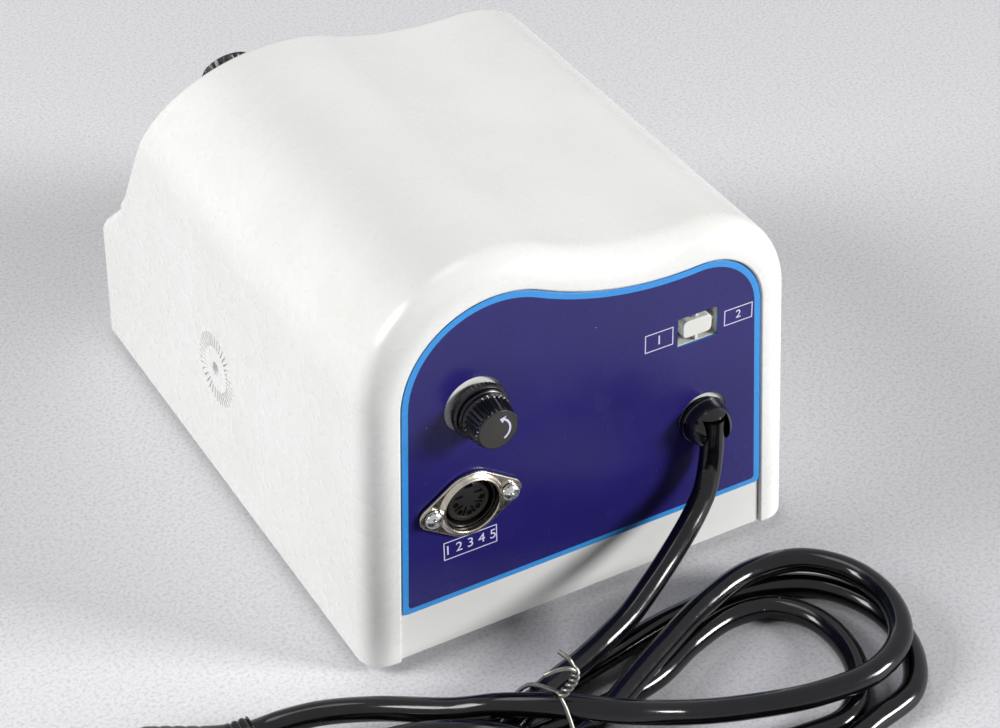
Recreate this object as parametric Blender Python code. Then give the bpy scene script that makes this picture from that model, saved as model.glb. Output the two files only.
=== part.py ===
"""Desktop control box for a dental laboratory micromotor.

Metres, +Z up. The controls face -Y and the rear plate, with its sockets and
mains cord, faces +Y. The origin is on the table, under the middle of the box.
"""

import math

import bmesh
import bpy
from mathutils import Matrix, Vector

# Casing: a moulded shell with a humped top, a leaning fascia and a low toe.
CASE_HALF_WIDTH = 0.0656
CASE_DEPTH = 0.1843
CASE_WALL = 0.0025
SIDE_DRAFT = math.radians(2.44)
HUMP_TOP = 0.1156
HUMP_RADIUS = 0.0372
SHOULDER_TOP = 0.1041
SHOULDER_RADIUS = 0.0277
VALLEY_RADIUS = 0.0803
RIM_WIDTH = 0.0097
RIM_FILLET = 0.0075
FASCIA_LEAN = math.radians(30.1)
FASCIA_FILLET = 0.0020
TOE_HEIGHT = 0.0545
TOE_LENGTH = 0.0236
TOE_ROUND = 0.0080
TOE_SLOPE = math.radians(40.0)
TOE_CORNER = 0.0080
TOE_SIDE_ROUND = 0.0040
BOSS_RADIUS = 0.0042
BOSS_HEIGHT = 0.0180
BOSS_BORE = 0.0016
BOSS_BORE_DEPTH = 0.0130
VENT_RADIUS = 0.0111
VENT_INNER_RADIUS = 0.0069
VENT_SLOT = 0.0006
VENT_HOLE_RADIUS = 0.0022
VENT_HEIGHT = 0.0378
VENT_SETBACK = 0.0939

# Running and seating clearances.
GAP = 0.0003
FIT = 0.0003
OVERRUN = 0.0020

# Rear plate and its printed overlay.
PANEL_RECESS = 0.0010
PANEL_THICKNESS = 0.0025
LABEL_THICKNESS = 0.0004
LABEL_BOTTOM = 0.0150
LABEL_CORNER = 0.0016

# Base.
BASE_THICKNESS = 0.0020
BASE_CORNER = 0.0050
FOOT_HEIGHT = 0.0030
FOOT_RADIUS = 0.0070
FOOT_TAPER = 0.0008
FOOT_RECESS = 0.0016
FOOT_BORE = 0.0019
FOOT_INSET_X = 0.0100
FOOT_INSET_REAR = 0.0180
FOOT_INSET_FRONT = 0.0160
BASE_SCREW_RADIUS = 0.0013
BASE_SCREW_HEAD = 0.0027
BASE_SCREW_HEAD_HEIGHT = 0.0010
BASE_SCREW_LENGTH = 0.0120

# Foot-pedal socket, a five-way round one with a two-eared flange.
DIN_EDGE = 0.0310
DIN_X = CASE_HALF_WIDTH - DIN_EDGE
DIN_Z = 0.0451
DIN_PITCH = 0.0111
DIN_FLANGE = 0.0010
DIN_FLANGE_RADIUS = 0.0099
DIN_EAR_RADIUS = 0.0036
DIN_BORE = 0.0077
DIN_TUBE = 0.0081
DIN_COLLAR = 0.0086
DIN_COLLAR_HEIGHT = 0.0020
DIN_DEPTH = 0.0090
DIN_CORE = 0.0060
DIN_INSERT_WALL = 0.0004
DIN_GROOVE_DEPTH = 0.0065
DIN_CONTACT_RING = 0.0037
DIN_CONTACT_RADIUS = 0.0008
DIN_CONTACT_DEPTH = 0.0050
DIN_KEY_WIDTH = 0.0022
DIN_KEY_DEPTH = 0.0014
DIN_CONTACTS = 5
DIN_SCREW_RADIUS = 0.0014
DIN_SCREW_HEAD = 0.0025
DIN_SCREW_HEAD_HEIGHT = 0.0018
DIN_SCREW_LENGTH = 0.0080
DIN_SCREW_HOLE = 0.0016
DIN_NUT_RADIUS = 0.0030
DIN_NUT_HEIGHT = 0.0022
CROSS_WIDTH = 0.0007
CROSS_SPAN = 0.0030
CROSS_DEPTH = 0.0008

# Fuse holder.
FUSE_EDGE = 0.0344
FUSE_X = CASE_HALF_WIDTH - FUSE_EDGE
FUSE_Z = 0.0740
FUSE_PROUD = 0.0102
FUSE_FLANGE_RADIUS = 0.0079
FUSE_FLANGE = 0.0020
FUSE_BARREL = 0.0062
FUSE_BORE = 0.0038
FUSE_BARREL_LENGTH = 0.0290
FUSE_BORE_LENGTH = 0.0240
FUSE_NUT_RADIUS = 0.0092
FUSE_NUT_HEIGHT = 0.0040
FUSE_CAP_RADIUS = 0.0071
FUSE_CAP_TIP = 0.0063
FUSE_CAP_FACE = 0.0055
FUSE_CAP_RIM = 0.0011
FUSE_CAP_CHAMFER = 0.0008
FUSE_STEM = 0.0034
FUSE_STEM_LENGTH = 0.0070
FUSE_STEM_BORE = 0.0028
FUSE_TUBE_RADIUS = 0.0026
FUSE_TUBE_LENGTH = 0.0200
FUSE_TUBE_CAP = 0.0045
FUSE_TUBE_GLASS = 0.0023
FUSE_KNURLS = 24
FUSE_KNURL_DEPTH = 0.0004
FUSE_LABEL_HOLE = 0.0084
FUSE_LABEL_SHIFT_X = 0.0010
FUSE_LABEL_SHIFT_Z = 0.0013

# Mains voltage selector.
SELECTOR_EDGE = 0.0323
SELECTOR_X = SELECTOR_EDGE - CASE_HALF_WIDTH
SELECTOR_Z = 0.0750
SELECTOR_WIDTH = 0.0122
SELECTOR_HEIGHT = 0.0089
SELECTOR_POCKET = 0.0042
SELECTOR_RIM = 0.0014
SELECTOR_BODY_DEPTH = 0.0090
SELECTOR_BODY_RIM = 0.0032
SELECTOR_RIB = 0.0008
SLIDER_WIDTH = 0.0087
SLIDER_HEIGHT = 0.0052
SLIDER_CORNER = 0.0014
SLIDER_FACE = 0.0002
SLIDER_BAR_HEIGHT = 0.0014
SLIDER_BAR_DEPTH = 0.0014
SLIDER_TRAVEL = 0.0014

# Cord gland, a right-angle one: the cord leaves it downwards.
GLAND_EDGE = 0.0302
GLAND_X = GLAND_EDGE - CASE_HALF_WIDTH
GLAND_Z = 0.0446
GLAND_FLANGE_RADIUS = 0.0070
GLAND_FLANGE = 0.0014
GLAND_DOME_RADIUS = 0.0064
GLAND_DOME_HEIGHT = 0.0072
GLAND_STEM = 0.0060
GLAND_STEM_LENGTH = 0.0100
GLAND_LIP = 0.0028
GLAND_LABEL_HOLE = 0.0075
GLAND_LABEL_SHIFT_X = -0.0005
GLAND_LABEL_SHIFT_Z = 0.0010

# Speed dial, on the hump's own centre, and its potentiometer.
DIAL_RADIUS = 0.0135
DIAL_SKIRT = 0.0040
DIAL_GRIP = 0.0085
DIAL_PROUD = 0.0190
DIAL_TAPER = 0.0010
DIAL_EDGE = 0.0008
DIAL_KNURLS = 24
DIAL_KNURL_DEPTH = 0.0006
DIAL_CLEARANCE = 0.0006
DIAL_POCKET_RADIUS = 0.0075
SHAFT_RADIUS = 0.0030
SHAFT_REACH = 0.0120
POT_RADIUS = 0.0120
POT_DEPTH = 0.0110
POT_NECK_RADIUS = 0.0036
POT_NECK_PROUD = 0.0036
POT_NUT_RADIUS = 0.0060
POT_NUT_HEIGHT = 0.0020
DIAL_SWEEP = math.radians(280.0)

# Fascia overlay and the two mode rockers on it.
OVERLAY_RISE = 0.0060
ROCKER_WIDTH = 0.0090
ROCKER_LENGTH = 0.0150
ROCKER_EDGE = 0.0326
ROCKER_X = ROCKER_EDGE - CASE_HALF_WIDTH
ROCKER_SPACING = 0.0220
ROCKER_UP = 0.0220
BEZEL_WIDTH = 0.0020
BEZEL_HEIGHT = 0.0016
BEZEL_BODY_DEPTH = 0.0120
BEZEL_WALL = 0.0010
ROCKER_PIVOT_DEPTH = 0.0015
ROCKER_RISE = 0.0040
ROCKER_TILT = math.radians(9.0)
LAMP_RADIUS = 0.0025
LAMP_FLANGE = 0.0032
LAMP_FLANGE_HEIGHT = 0.0008
LAMP_STEM = 0.0060
LAMP_X = ROCKER_X + ROCKER_SPACING / 2
LAMP_UP = 0.0420

# Toe front: mains rocker and motor socket.
POWER_EDGE = 0.0326
POWER_X = POWER_EDGE - CASE_HALF_WIDTH
POWER_Z = 0.0170
POWER_WIDTH = 0.0110
POWER_LENGTH = 0.0180
SOCKET_EDGE = 0.0406
SOCKET_X = CASE_HALF_WIDTH - SOCKET_EDGE
SOCKET_Z = 0.0170
SOCKET_RADIUS = 0.0085
SOCKET_PROUD = 0.0040
SOCKET_BORE = 0.0060
SOCKET_BORE_DEPTH = 0.0100
SOCKET_DEPTH = 0.0150
SOCKET_COLLAR = 0.0105
SOCKET_COLLAR_HEIGHT = 0.0014
SOCKET_NUT_RADIUS = 0.0110
SOCKET_NUT_HEIGHT = 0.0030

# Transformer, laminations on edge, strapped to the base.
CORE_LENGTH = 0.0660
CORE_HEIGHT = 0.0550
CORE_STACK = 0.0300
CORE_LEG = 0.0110
CORE_X = -0.0240
CORE_SETBACK = 0.0900
WINDING_BULGE = 0.0090
STRAP_THICKNESS = 0.0012
STRAP_WIDTH = 0.0200
STRAP_EAR = 0.0100
STRAP_SCREW_INSET = 0.0050
PAN_SCREW_RADIUS = 0.0014
PAN_SCREW_HEAD = 0.0028
PAN_SCREW_HEAD_HEIGHT = 0.0016
PAN_SCREW_LENGTH = 0.0050
PAN_SCREW_HOLE = 0.0017

# Circuit board on four pillars, and what stands on it.
BOARD_SIDE_GAP = 0.0106
BOARD_COIL_GAP = 0.0110
BOARD_RIGHT = CASE_HALF_WIDTH - BOARD_SIDE_GAP
BOARD_LEFT = CORE_X + CORE_STACK / 2 + WINDING_BULGE + BOARD_COIL_GAP
BOARD_WIDTH = BOARD_RIGHT - BOARD_LEFT
BOARD_LENGTH = 0.0800
BOARD_THICKNESS = 0.0016
BOARD_X = (BOARD_LEFT + BOARD_RIGHT) / 2
BOARD_SETBACK = 0.1100
BOARD_EDGE = 0.0050
PILLAR_HEIGHT = 0.0080
PILLAR_RADIUS = 0.0030
PILLAR_PEG = 0.0013
CAPACITOR_RADIUS = 0.0080
CAPACITOR_HEIGHT = 0.0300
CAPACITOR_EDGE = 0.0012
CAPACITOR_SIDE = 0.0080
CAPACITOR_BACK = 0.0240
SINK_WIDTH = 0.0280
SINK_DEPTH = 0.0140
SINK_HEIGHT = 0.0300
SINK_FIN = 0.0016
SINK_FINS = 6
SINK_BACK = 0.0080
TRANSISTOR_WIDTH = 0.0100
TRANSISTOR_HEIGHT = 0.0160
TRANSISTOR_DEPTH = 0.0045
TERMINAL_WIDTH = 0.0300
TERMINAL_DEPTH = 0.0120
TERMINAL_HEIGHT = 0.0130
TERMINAL_WAYS = 3
TERMINAL_BORE = 0.0024
TERMINAL_BORE_DEPTH = 0.0060
TERMINAL_SETBACK = 0.0270

# Mains cord. Its route is seen from above the table: x as on the case, y out
# from the rear label and z up from the table.
CORD_DIAMETER = 0.0065
CORD_GAP = 0.0003
LEAD_STEP = 0.0140
HANK_STEP = 0.0298
BEND_WEIGHT = 0.0200
ROUTE_STEPS = 24
LEAD_ROUTE = (
    (-0.0354, 0.0053, 0.0501),
    (-0.0354, 0.0053, 0.0465),
    (-0.0353, 0.0055, 0.0420),
    (-0.0343, 0.0062, 0.0350),
    (-0.0319, 0.0080, 0.0300),
    (-0.0285, 0.0100, 0.0269),
    (-0.0239, 0.0125, 0.0240),
    (-0.0164, 0.0160, 0.0198),
    (-0.0079, 0.0200, 0.0162),
    (0.0015, 0.0240, 0.0126),
    (0.0103, 0.0272, 0.0110),
    (0.0199, 0.0313, 0.0112),
    (0.0290, 0.0353, 0.0125),
)

# The hank is wound clockwise, drawn in by the tie at its waist. Layers lie at
# one, two and three cord heights; the strands pass the waist one beside another.
LAYERS = (0.0033, 0.0105, 0.0180)
WAIST_X = 0.0380
WAIST_LEAD = (0.0398, 0.0137)
WAIST_FIRST_OUT = (0.0332, 0.0059)
WAIST_SECOND_OUT = (0.0445, 0.0059)
WAIST_THIRD_IN = (0.0524, 0.0059)
WAIST_SECOND_IN = (0.0612, 0.0059)
WAIST_THIRD_OUT = (0.0570, 0.0134)
WAIST_LAST = (0.0369, 0.0517, 0.0210)

# The hank's half loops, as half_loop takes them: waist end, far end, half
# width, pinch, bow, heights from and to, angles of the climb, ends left off
# and points. Between them the strands run over the waist.
LEVEL = (LAYERS[0], LAYERS[0])
STEADY = (3.0, 4.0)
FIRST_FAR = ((0.0440, 0.0470), (0.1270, 0.0540), 0.0250, 0.25, 0.0,
             (LAYERS[1], LAYERS[0] + GAP), (3.2, 5.2), (1.3, 1.0), 8)
FIRST_NEAR = ((0.0600, 0.0291), (-0.0619, 0.0605), 0.0191, 1.4, 0.0034,
              LEVEL, STEADY, (1.3, 2.35), 8)
SECOND_FAR = ((0.0440, 0.0545), (0.1170, 0.0585), 0.0216, 0.25, 0.0,
              LEVEL, STEADY, (1.15, 1.0), 8)
SECOND_NEAR = ((0.0300, 0.0532), (-0.0473, 0.0472), 0.0210, 0.60, -0.0055,
               LEVEL, STEADY, (1.32, 2.15), 8)
THIRD_FAR = ((0.0440, 0.0505), (0.1052, 0.0515), 0.0164, 0.40, 0.0,
             (LAYERS[0], LAYERS[1] + LAYERS[0]), (2.6, 4.4), (1.3, 1.5), 8)
THIRD_NEAR = ((0.0300, 0.0522), (-0.0625, 0.0451), 0.0195, 0.86, -0.0008,
              (LAYERS[1], LAYERS[1]), STEADY, (0.85, 1.35), 11)
LEAD_TO_FIRST = ((0.0490, 0.0448, 0.0118), (0.0585, 0.0530, LAYERS[1]))
OUT_TO_FIRST = ((0.0243, 0.0290, 0.0038),)
FIRST_TO_SECOND = ((-0.0240, 0.0838, LAYERS[0]), (-0.0080, 0.0840, LAYERS[0]),
                   (0.0080, 0.0787, LAYERS[0]), (0.0240, 0.0686, 0.0040))
IN_TO_SECOND = ((0.0490, 0.0632, 0.0041),)
OUT_TO_SECOND = ((0.0200, 0.0420, 0.0037),)
SECOND_TO_THIRD = ((-0.0200, 0.0759, LAYERS[0]), (-0.0060, 0.0732, LAYERS[0]),
                   (0.0080, 0.0680, LAYERS[0]), (0.0230, 0.0595, 0.0040))
IN_TO_THIRD = ((0.0490, 0.0540, 0.0042),)
THIRD_CLIMB = ((0.0640, 0.0415, 0.0167), (0.0555, 0.0495, 0.0187), (0.0465, 0.0553, 0.0166))
OUT_TO_THIRD = ((0.0270, 0.0522, 0.0112),)
THIRD_TO_END = ((0.0063, 0.0622, 0.0127), (0.0230, 0.0590, 0.0184))
END_ROUTE = (
    (0.0500, 0.0431, 0.0203),
    (0.0590, 0.0352, 0.0165),
    (0.0739, 0.0198, 0.0112),
    (0.0856, 0.0124, 0.0091),
    (0.0945, 0.0089, 0.0073),
    (0.0980, 0.0083, 0.0068),
    (0.1020, 0.0082, 0.0068),
)

# Plug, a slim two-pin one that lies flat, and the wire tie.
PLUG_NECK = 0.0042
PLUG_NECK_LENGTH = 0.0060
PLUG_HALF_WIDTH = 0.0135
PLUG_HALF_HEIGHT = 0.0064
PLUG_FLARE = 0.0180
PLUG_LENGTH = 0.0290
PLUG_EDGE = 0.0015
PIN_RADIUS = 0.0020
PIN_LENGTH = 0.0190
PIN_ROOT = 0.0060
PIN_SPREAD = 0.0095
TIE_WIRE_RADIUS = 0.0006
TIE_CLEARANCE = 0.0019
TIE_POINTS = 30
TWIST_RADIUS = 0.0012
TWIST_PITCH = 0.0050
TWIST_LENGTH = 0.0120
TWIST_POINTS = 16

SIDES_LARGE = 32
SIDES = 24
SIDES_SMALL = 12
HEX = 6

# Derived places, shared by the pieces that meet there.
REAR_Y = (CASE_DEPTH + SOCKET_PROUD - FUSE_PROUD) / 2
TOE_Y = -CASE_DEPTH
FASCIA_Y = TOE_Y + TOE_LENGTH
LABEL_Y = -PANEL_RECESS + GAP + LABEL_THICKNESS
PANEL_Y = -PANEL_RECESS - PANEL_THICKNESS
HUMP_Z = HUMP_TOP - HUMP_RADIUS
SHOULDER_Z = SHOULDER_TOP - SHOULDER_RADIUS
LEAN_RISE = math.tan(FASCIA_LEAN)


def side_x(height, inset=0.0):
    """Half width of the drafted casing at a height, less an inset square to it."""
    return CASE_HALF_WIDTH - height * math.tan(SIDE_DRAFT) - inset / math.cos(SIDE_DRAFT)


def arc_centre(radius, height):
    """Where an arc of the top has to sit to run into the drafted side."""
    return CASE_HALF_WIDTH - (radius + height * math.sin(SIDE_DRAFT)) / math.cos(SIDE_DRAFT)


HUMP = Vector((arc_centre(HUMP_RADIUS, HUMP_Z), HUMP_Z))
SHOULDER = Vector((-arc_centre(SHOULDER_RADIUS, SHOULDER_Z), SHOULDER_Z))


def valley_centre():
    """Centre of the hollow arc that touches both the hump and the shoulder."""
    near, far = HUMP_RADIUS + VALLEY_RADIUS, SHOULDER_RADIUS + VALLEY_RADIUS
    span = SHOULDER - HUMP
    along = (near**2 - far**2 + span.length**2) / (2 * span.length)
    across = math.sqrt(near**2 - along**2)
    way = span.normalized()
    return HUMP + way * along + Vector((way.y, -way.x)) * across


VALLEY = valley_centre()


def arc(centre, radius, start, end, steps):
    """Points along an arc, both ends included."""
    turn = (end - start) / steps
    return [
        centre + radius * Vector((math.cos(start + turn * i), math.sin(start + turn * i)))
        for i in range(steps + 1)
    ]


def top_profile(inset=0.0, hump_steps=10, valley_steps=5, shoulder_steps=8):
    """The top line from the +X tangent point to the -X one, as (x, z) points."""
    to_hump, to_shoulder = VALLEY - HUMP, VALLEY - SHOULDER
    at_hump = math.atan2(to_hump.y, to_hump.x)
    at_shoulder = math.atan2(to_shoulder.y, to_shoulder.x)
    hump = arc(HUMP, HUMP_RADIUS - inset, SIDE_DRAFT, at_hump, hump_steps)
    valley = arc(VALLEY, VALLEY_RADIUS + inset, at_hump - math.pi, at_shoulder - math.pi, valley_steps)
    shoulder = arc(
        SHOULDER, SHOULDER_RADIUS - inset, at_shoulder, math.pi - SIDE_DRAFT, shoulder_steps
    )
    return hump + valley[1:-1] + shoulder


def fascia_y(height):
    """The fascia's Y at a height."""
    return FASCIA_Y + max(height - TOE_HEIGHT, 0.0) * LEAN_RISE


def material(name, colour, roughness, metallic=0.0):
    """A Principled material of one colour, given as linear values."""
    made = bpy.data.materials.new(name)
    made.use_nodes = True
    shader = made.node_tree.nodes["Principled BSDF"]
    shader.inputs["Base Color"].default_value = (*colour, 1.0)
    shader.inputs["Roughness"].default_value = roughness
    shader.inputs["Metallic"].default_value = metallic
    made.diffuse_color = (*colour, 1.0)
    return made


def frame(name, parent, place, x_axis, y_axis):
    """An empty whose axes are the given ones, to hang pieces on."""
    empty = bpy.data.objects.new(name, None)
    bpy.context.scene.collection.objects.link(empty)
    x, y = Vector(x_axis).normalized(), Vector(y_axis).normalized()
    turn = Matrix((x, y, x.cross(y))).transposed().to_4x4()
    empty.parent = parent
    empty.matrix_local = Matrix.Translation(Vector(place)) @ turn
    return empty


def piece(name, mesh, look, parent, place=(0, 0, 0), turn=(0, 0, 0)):
    """An object for one sub-part, from a bmesh that is used up."""
    bmesh.ops.remove_doubles(mesh, verts=mesh.verts, dist=0.000001)
    bmesh.ops.recalc_face_normals(mesh, faces=mesh.faces)
    data = bpy.data.meshes.new(name)
    mesh.to_mesh(data)
    mesh.free()
    if look:
        data.materials.append(look)
    data.shade_smooth()
    data.set_sharp_from_angle(angle=math.radians(35))
    made = bpy.data.objects.new(name, data)
    bpy.context.scene.collection.objects.link(made)
    made.parent = parent
    made.location = place
    made.rotation_euler = turn
    return made


def cutter(name, mesh, parent, place=(0, 0, 0), turn=(0, 0, 0)):
    """A shape that only cuts or joins other pieces."""
    made = piece(name, mesh, None, parent, place, turn)
    made.hide_render = True
    made.display_type = "WIRE"
    return made


def apply_shape(target, tool, operation):
    """Adds a Boolean modifier to a piece."""
    step = target.modifiers.new(tool.name, "BOOLEAN")
    step.operation = operation
    step.solver = "EXACT"
    step.object = tool


def cut(target, *tools):
    for tool in tools:
        apply_shape(target, tool, "DIFFERENCE")


def join(target, *tools):
    for tool in tools:
        apply_shape(target, tool, "UNION")


def rings_mesh(rings, mesh=None, close=True, cap=True):
    """Faces between rings of equal counts; closed rings, and capped ends."""
    mesh = mesh or bmesh.new()
    rows = [[mesh.verts.new(point) for point in ring] for ring in rings]
    count = len(rows[0])
    for one, other in zip(rows, rows[1:]):
        for i in range(count if close else count - 1):
            j = (i + 1) % count
            mesh.faces.new((one[i], one[j], other[j], other[i]))
    if cap:
        mesh.faces.new(rows[0])
        mesh.faces.new(rows[-1])
    return mesh


def turned(profile, sides, mesh=None, place=(0, 0, 0)):
    """A profile of (radius, height) points spun about Z; it starts and ends on
    the axis, or goes round to where it started."""
    mesh = mesh or bmesh.new()
    centre = Vector(place)
    verts = [mesh.verts.new(centre + Vector((radius, 0, height))) for radius, height in profile]
    edges = [mesh.edges.new(pair) for pair in zip(verts, verts[1:])]
    if profile[0][0] or profile[-1][0]:
        edges.append(mesh.edges.new((verts[-1], verts[0])))
    bmesh.ops.spin(
        mesh,
        geom=verts + edges,
        cent=centre,
        axis=(0, 0, 1),
        angle=2 * math.pi,
        steps=sides,
        use_merge=True,
    )
    bmesh.ops.remove_doubles(mesh, verts=mesh.verts, dist=0.000001)
    return mesh


def prism(outline, low, high, mesh=None):
    """An outline of (x, y) points raised from one height to another."""
    return rings_mesh(
        [[Vector((x, y, low)) for x, y in outline], [Vector((x, y, high)) for x, y in outline]],
        mesh,
    )


def rectangle(width, length, centre=(0, 0)):
    """Corner points of a rectangle."""
    x, y = centre
    return [
        (x + width / 2, y + length / 2),
        (x - width / 2, y + length / 2),
        (x - width / 2, y - length / 2),
        (x + width / 2, y - length / 2),
    ]


def rounded(width, length, corner, steps=4, centre=(0, 0)):
    """Outline of a rectangle with round corners."""
    x, y = centre
    points = []
    for i, (side, way) in enumerate(((1, 1), (-1, 1), (-1, -1), (1, -1))):
        middle = Vector((x + side * (width / 2 - corner), y + way * (length / 2 - corner)))
        start = i * math.pi / 2
        points += [tuple(p) for p in arc(middle, corner, start, start + math.pi / 2, steps)]
    return points


def block(width, length, low, high, centre=(0, 0), mesh=None):
    """A box that stands from one height to another."""
    return prism(rectangle(width, length, centre), low, high, mesh)


def rod(radius, low, high, sides=SIDES, mesh=None, place=(0, 0)):
    """A cylinder along Z."""
    x, y = place
    step = 2 * math.pi / sides
    outline = [
        (x + radius * math.cos(i * step), y + radius * math.sin(i * step)) for i in range(sides)
    ]
    return prism(outline, low, high, mesh)


def pan_screw(radius, head, head_height, length, recess=True, sides=SIDES_SMALL):
    """A pan-head screw: the head's seat is at zero and the shank runs down."""
    dome = head_height / 4
    return turned(
        [
            (0, -length),
            (radius, -length),
            (radius, 0),
            (head, 0),
            (head, head_height - 2 * dome),
            (head - dome, head_height - dome / 2),
            (head - 2 * dome, head_height),
            (0, head_height),
        ],
        sides,
    )


def cross_slot(name, parent, place, height):
    """The recess of a cross-head screw, as one cross-shaped cutter."""
    half, arm = CROSS_WIDTH / 2, CROSS_SPAN / 2
    outline = []
    for i in range(4):
        c, s = math.cos(i * math.pi / 2), math.sin(i * math.pi / 2)
        for x, y in ((half, half), (half, arm), (-half, arm)):
            outline.append((c * x - s * y, s * x + c * y))
    return cutter(name, prism(outline, height - CROSS_DEPTH, height + OVERRUN), parent, place)


def knurled(rings, count, depth):
    """A ribbed turned shape: rings of (radius, height, ribbed)."""
    step = math.pi / count
    return rings_mesh(
        [
            [
                Vector(
                    (
                        (radius - depth * (i % 2) * ribbed) * math.cos(i * step),
                        (radius - depth * (i % 2) * ribbed) * math.sin(i * step),
                        height,
                    )
                )
                for i in range(2 * count)
            ]
            for radius, height, ribbed in rings
        ]
    )


LOW_SHARES = (0.0, 0.5)
UP_SHARES = (0.12, 0.3, 0.6)
ROUND_STEPS = 3
TOE_CORNER_SHARES = (1.0, 0.7)
TOE_ROUND_STEPS = 5


class Skin:
    """One face of the casing, as rings of points from the rear rim to the toe."""

    def __init__(self, inset):
        self.inset = inset
        across = inset / math.cos(FASCIA_LEAN + TOE_SLOPE)
        self.shelf = TOE_HEIGHT - across * (math.cos(FASCIA_LEAN) - math.sin(TOE_SLOPE))
        self.front = TOE_Y + inset
        self.fascia = FASCIA_Y + across * (math.cos(TOE_SLOPE) - math.sin(FASCIA_LEAN))
        self.lean_from = self.shelf
        self.side_round = TOE_SIDE_ROUND - min(inset, TOE_SIDE_ROUND / 2)

    def heights(self, inset):
        """Heights of the side's points below the top line."""
        start = self.shelf - self.side_round
        low = [share * start for share in LOW_SHARES]
        corner = [
            start + self.side_round * math.sin(i * math.pi / 2 / ROUND_STEPS)
            for i in range(ROUND_STEPS + 1)
        ]
        tangent = HUMP_Z + (HUMP_RADIUS - inset) * math.sin(SIDE_DRAFT)
        other = SHOULDER_Z + (SHOULDER_RADIUS - inset) * math.sin(SIDE_DRAFT)
        ups = [
            [self.shelf + share * (end - self.shelf) for share in UP_SHARES]
            for end in (tangent, other)
        ]
        return low + corner, ups

    def fascia_at(self, height):
        return self.fascia + (height - self.lean_from) * LEAN_RISE

    def full(self, inset, depth_at):
        """A full ring: depth_at gives Y from a point's height and its inset."""
        low, (right, left) = self.heights(inset(HUMP_Z))
        points = [(side_x(z, inset(z)), z) for z in low + right]
        points += [tuple(p) for p in top_profile(inset(HUMP_Z))]
        points += [(-side_x(z, inset(z)), z) for z in reversed(low + left)]
        return [Vector((x, depth_at(z), z)) for x, z in points]

    def rear_rings(self):
        """Rim and rear fillet, from the opening's edge outwards."""
        start = -self.inset
        rings = [self.full(lambda z: RIM_WIDTH, lambda z: start)]
        radius = RIM_FILLET - self.inset
        steps = 4
        for i in range(steps + 1):
            angle = i * math.pi / 2 / steps
            inset = RIM_FILLET - radius * math.sin(angle)
            y = start - radius * (1 - math.cos(angle))
            rings.append(self.full(lambda z, v=inset: v, lambda z, v=y: v))
        return rings

    def fascia_rings(self):
        """The fillet round the fascia, fading out where the toe begins."""
        rings = []
        steps = 3
        radius = FASCIA_FILLET - self.inset / 2
        for i in range(steps + 1):
            angle = i * math.pi / 2 / steps
            drop, back = radius * (1 - math.cos(angle)), radius * (1 - math.sin(angle))

            def inset(z, drop=drop):
                fade = min(max((z - self.shelf) / (3 * radius), 0.0), 1.0)
                return self.inset + drop * fade

            def depth(z, back=back):
                return self.fascia_at(max(z, self.shelf)) + back + self.step_back(z)

            rings.append(self.full(inset, depth))
        return rings

    def step_back(self, z):
        """Keeps the low part of the last full ring just behind the toe's first."""
        return GAP * min(max((self.shelf - z) / self.side_round, 0.0), 1.0)

    def toe_ring(self, y, drop, narrow, count):
        """A ring of the toe: its top is level from side to side, with rounded ends."""
        top = self.shelf - drop
        start = top - self.side_round
        low = [share * start for share in LOW_SHARES]
        points = [(side_x(z, self.inset + narrow), z) for z in low]
        for i in range(ROUND_STEPS + 1):
            angle = i * math.pi / 2 / ROUND_STEPS
            z = start + self.side_round * math.sin(angle)
            x = side_x(z, self.inset + narrow) - self.side_round * (1 - math.cos(angle))
            points.append((x, z))
        edge = points[-1][0]
        spread = [edge * (1 - 2 * (i + 1) / (count + 1)) for i in range(count)]
        mirrored = [(-x, z) for x, z in reversed(points)]
        return [Vector((x, y, z)) for x, z in points + [(x, top) for x in spread] + mirrored]

    def toe_places(self):
        """Y and drop of the toe's rings: down its slope, then round its front edge."""
        radius = TOE_ROUND - self.inset
        corner = TOE_CORNER - self.inset
        slope = math.tan(TOE_SLOPE)
        turn = math.pi / 2 - TOE_SLOPE
        centre = (self.fascia - self.front) * slope + radius * math.tan(turn / 2)
        places = [(self.fascia, 0.0)]
        for share in TOE_CORNER_SHARES:
            y = self.front + corner * share
            places.append((y, (self.fascia - y) * slope))
        for i in range(TOE_ROUND_STEPS + 1):
            angle = turn * (1 - i / TOE_ROUND_STEPS)
            y = self.front + radius * (1 - math.cos(angle))
            places.append((y, centre - radius * math.sin(angle)))
        return places

    def toe_rings(self, count):
        rings = []
        corner = TOE_CORNER - self.inset
        for y, drop in self.toe_places():
            into = max(self.front + corner - y, 0.0)
            narrow = corner - math.sqrt(max(corner**2 - into**2, 0.0))
            rings.append(self.toe_ring(y, drop, narrow, count))
        return rings

    def rings(self):
        rear = self.rear_rings() + self.fascia_rings()
        kept = len(LOW_SHARES) + ROUND_STEPS + 1
        return rear + self.toe_rings(len(rear[0]) - 2 * kept)


def casing_mesh():
    """The shell: an outer and an inner skin, joined along their free edges."""
    mesh = bmesh.new()
    sheets = []
    for skin in (Skin(0.0), Skin(CASE_WALL)):
        rows = [[mesh.verts.new(point) for point in ring] for ring in skin.rings()]
        for one, other in zip(rows, rows[1:]):
            for i in range(len(one) - 1):
                mesh.faces.new((one[i], one[i + 1], other[i + 1], other[i]))
        mesh.faces.new(rows[-1])
        sheets.append(rows)
    outer, inner = sheets
    for i in range(len(outer[0]) - 1):
        mesh.faces.new((outer[0][i], outer[0][i + 1], inner[0][i + 1], inner[0][i]))
    for end in (0, -1):
        for k in range(len(outer) - 1):
            mesh.faces.new((outer[k][end], outer[k + 1][end], inner[k + 1][end], inner[k][end]))
    mesh.faces.new((outer[-1][0], outer[-1][-1], inner[-1][-1], inner[-1][0]))
    return mesh


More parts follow.
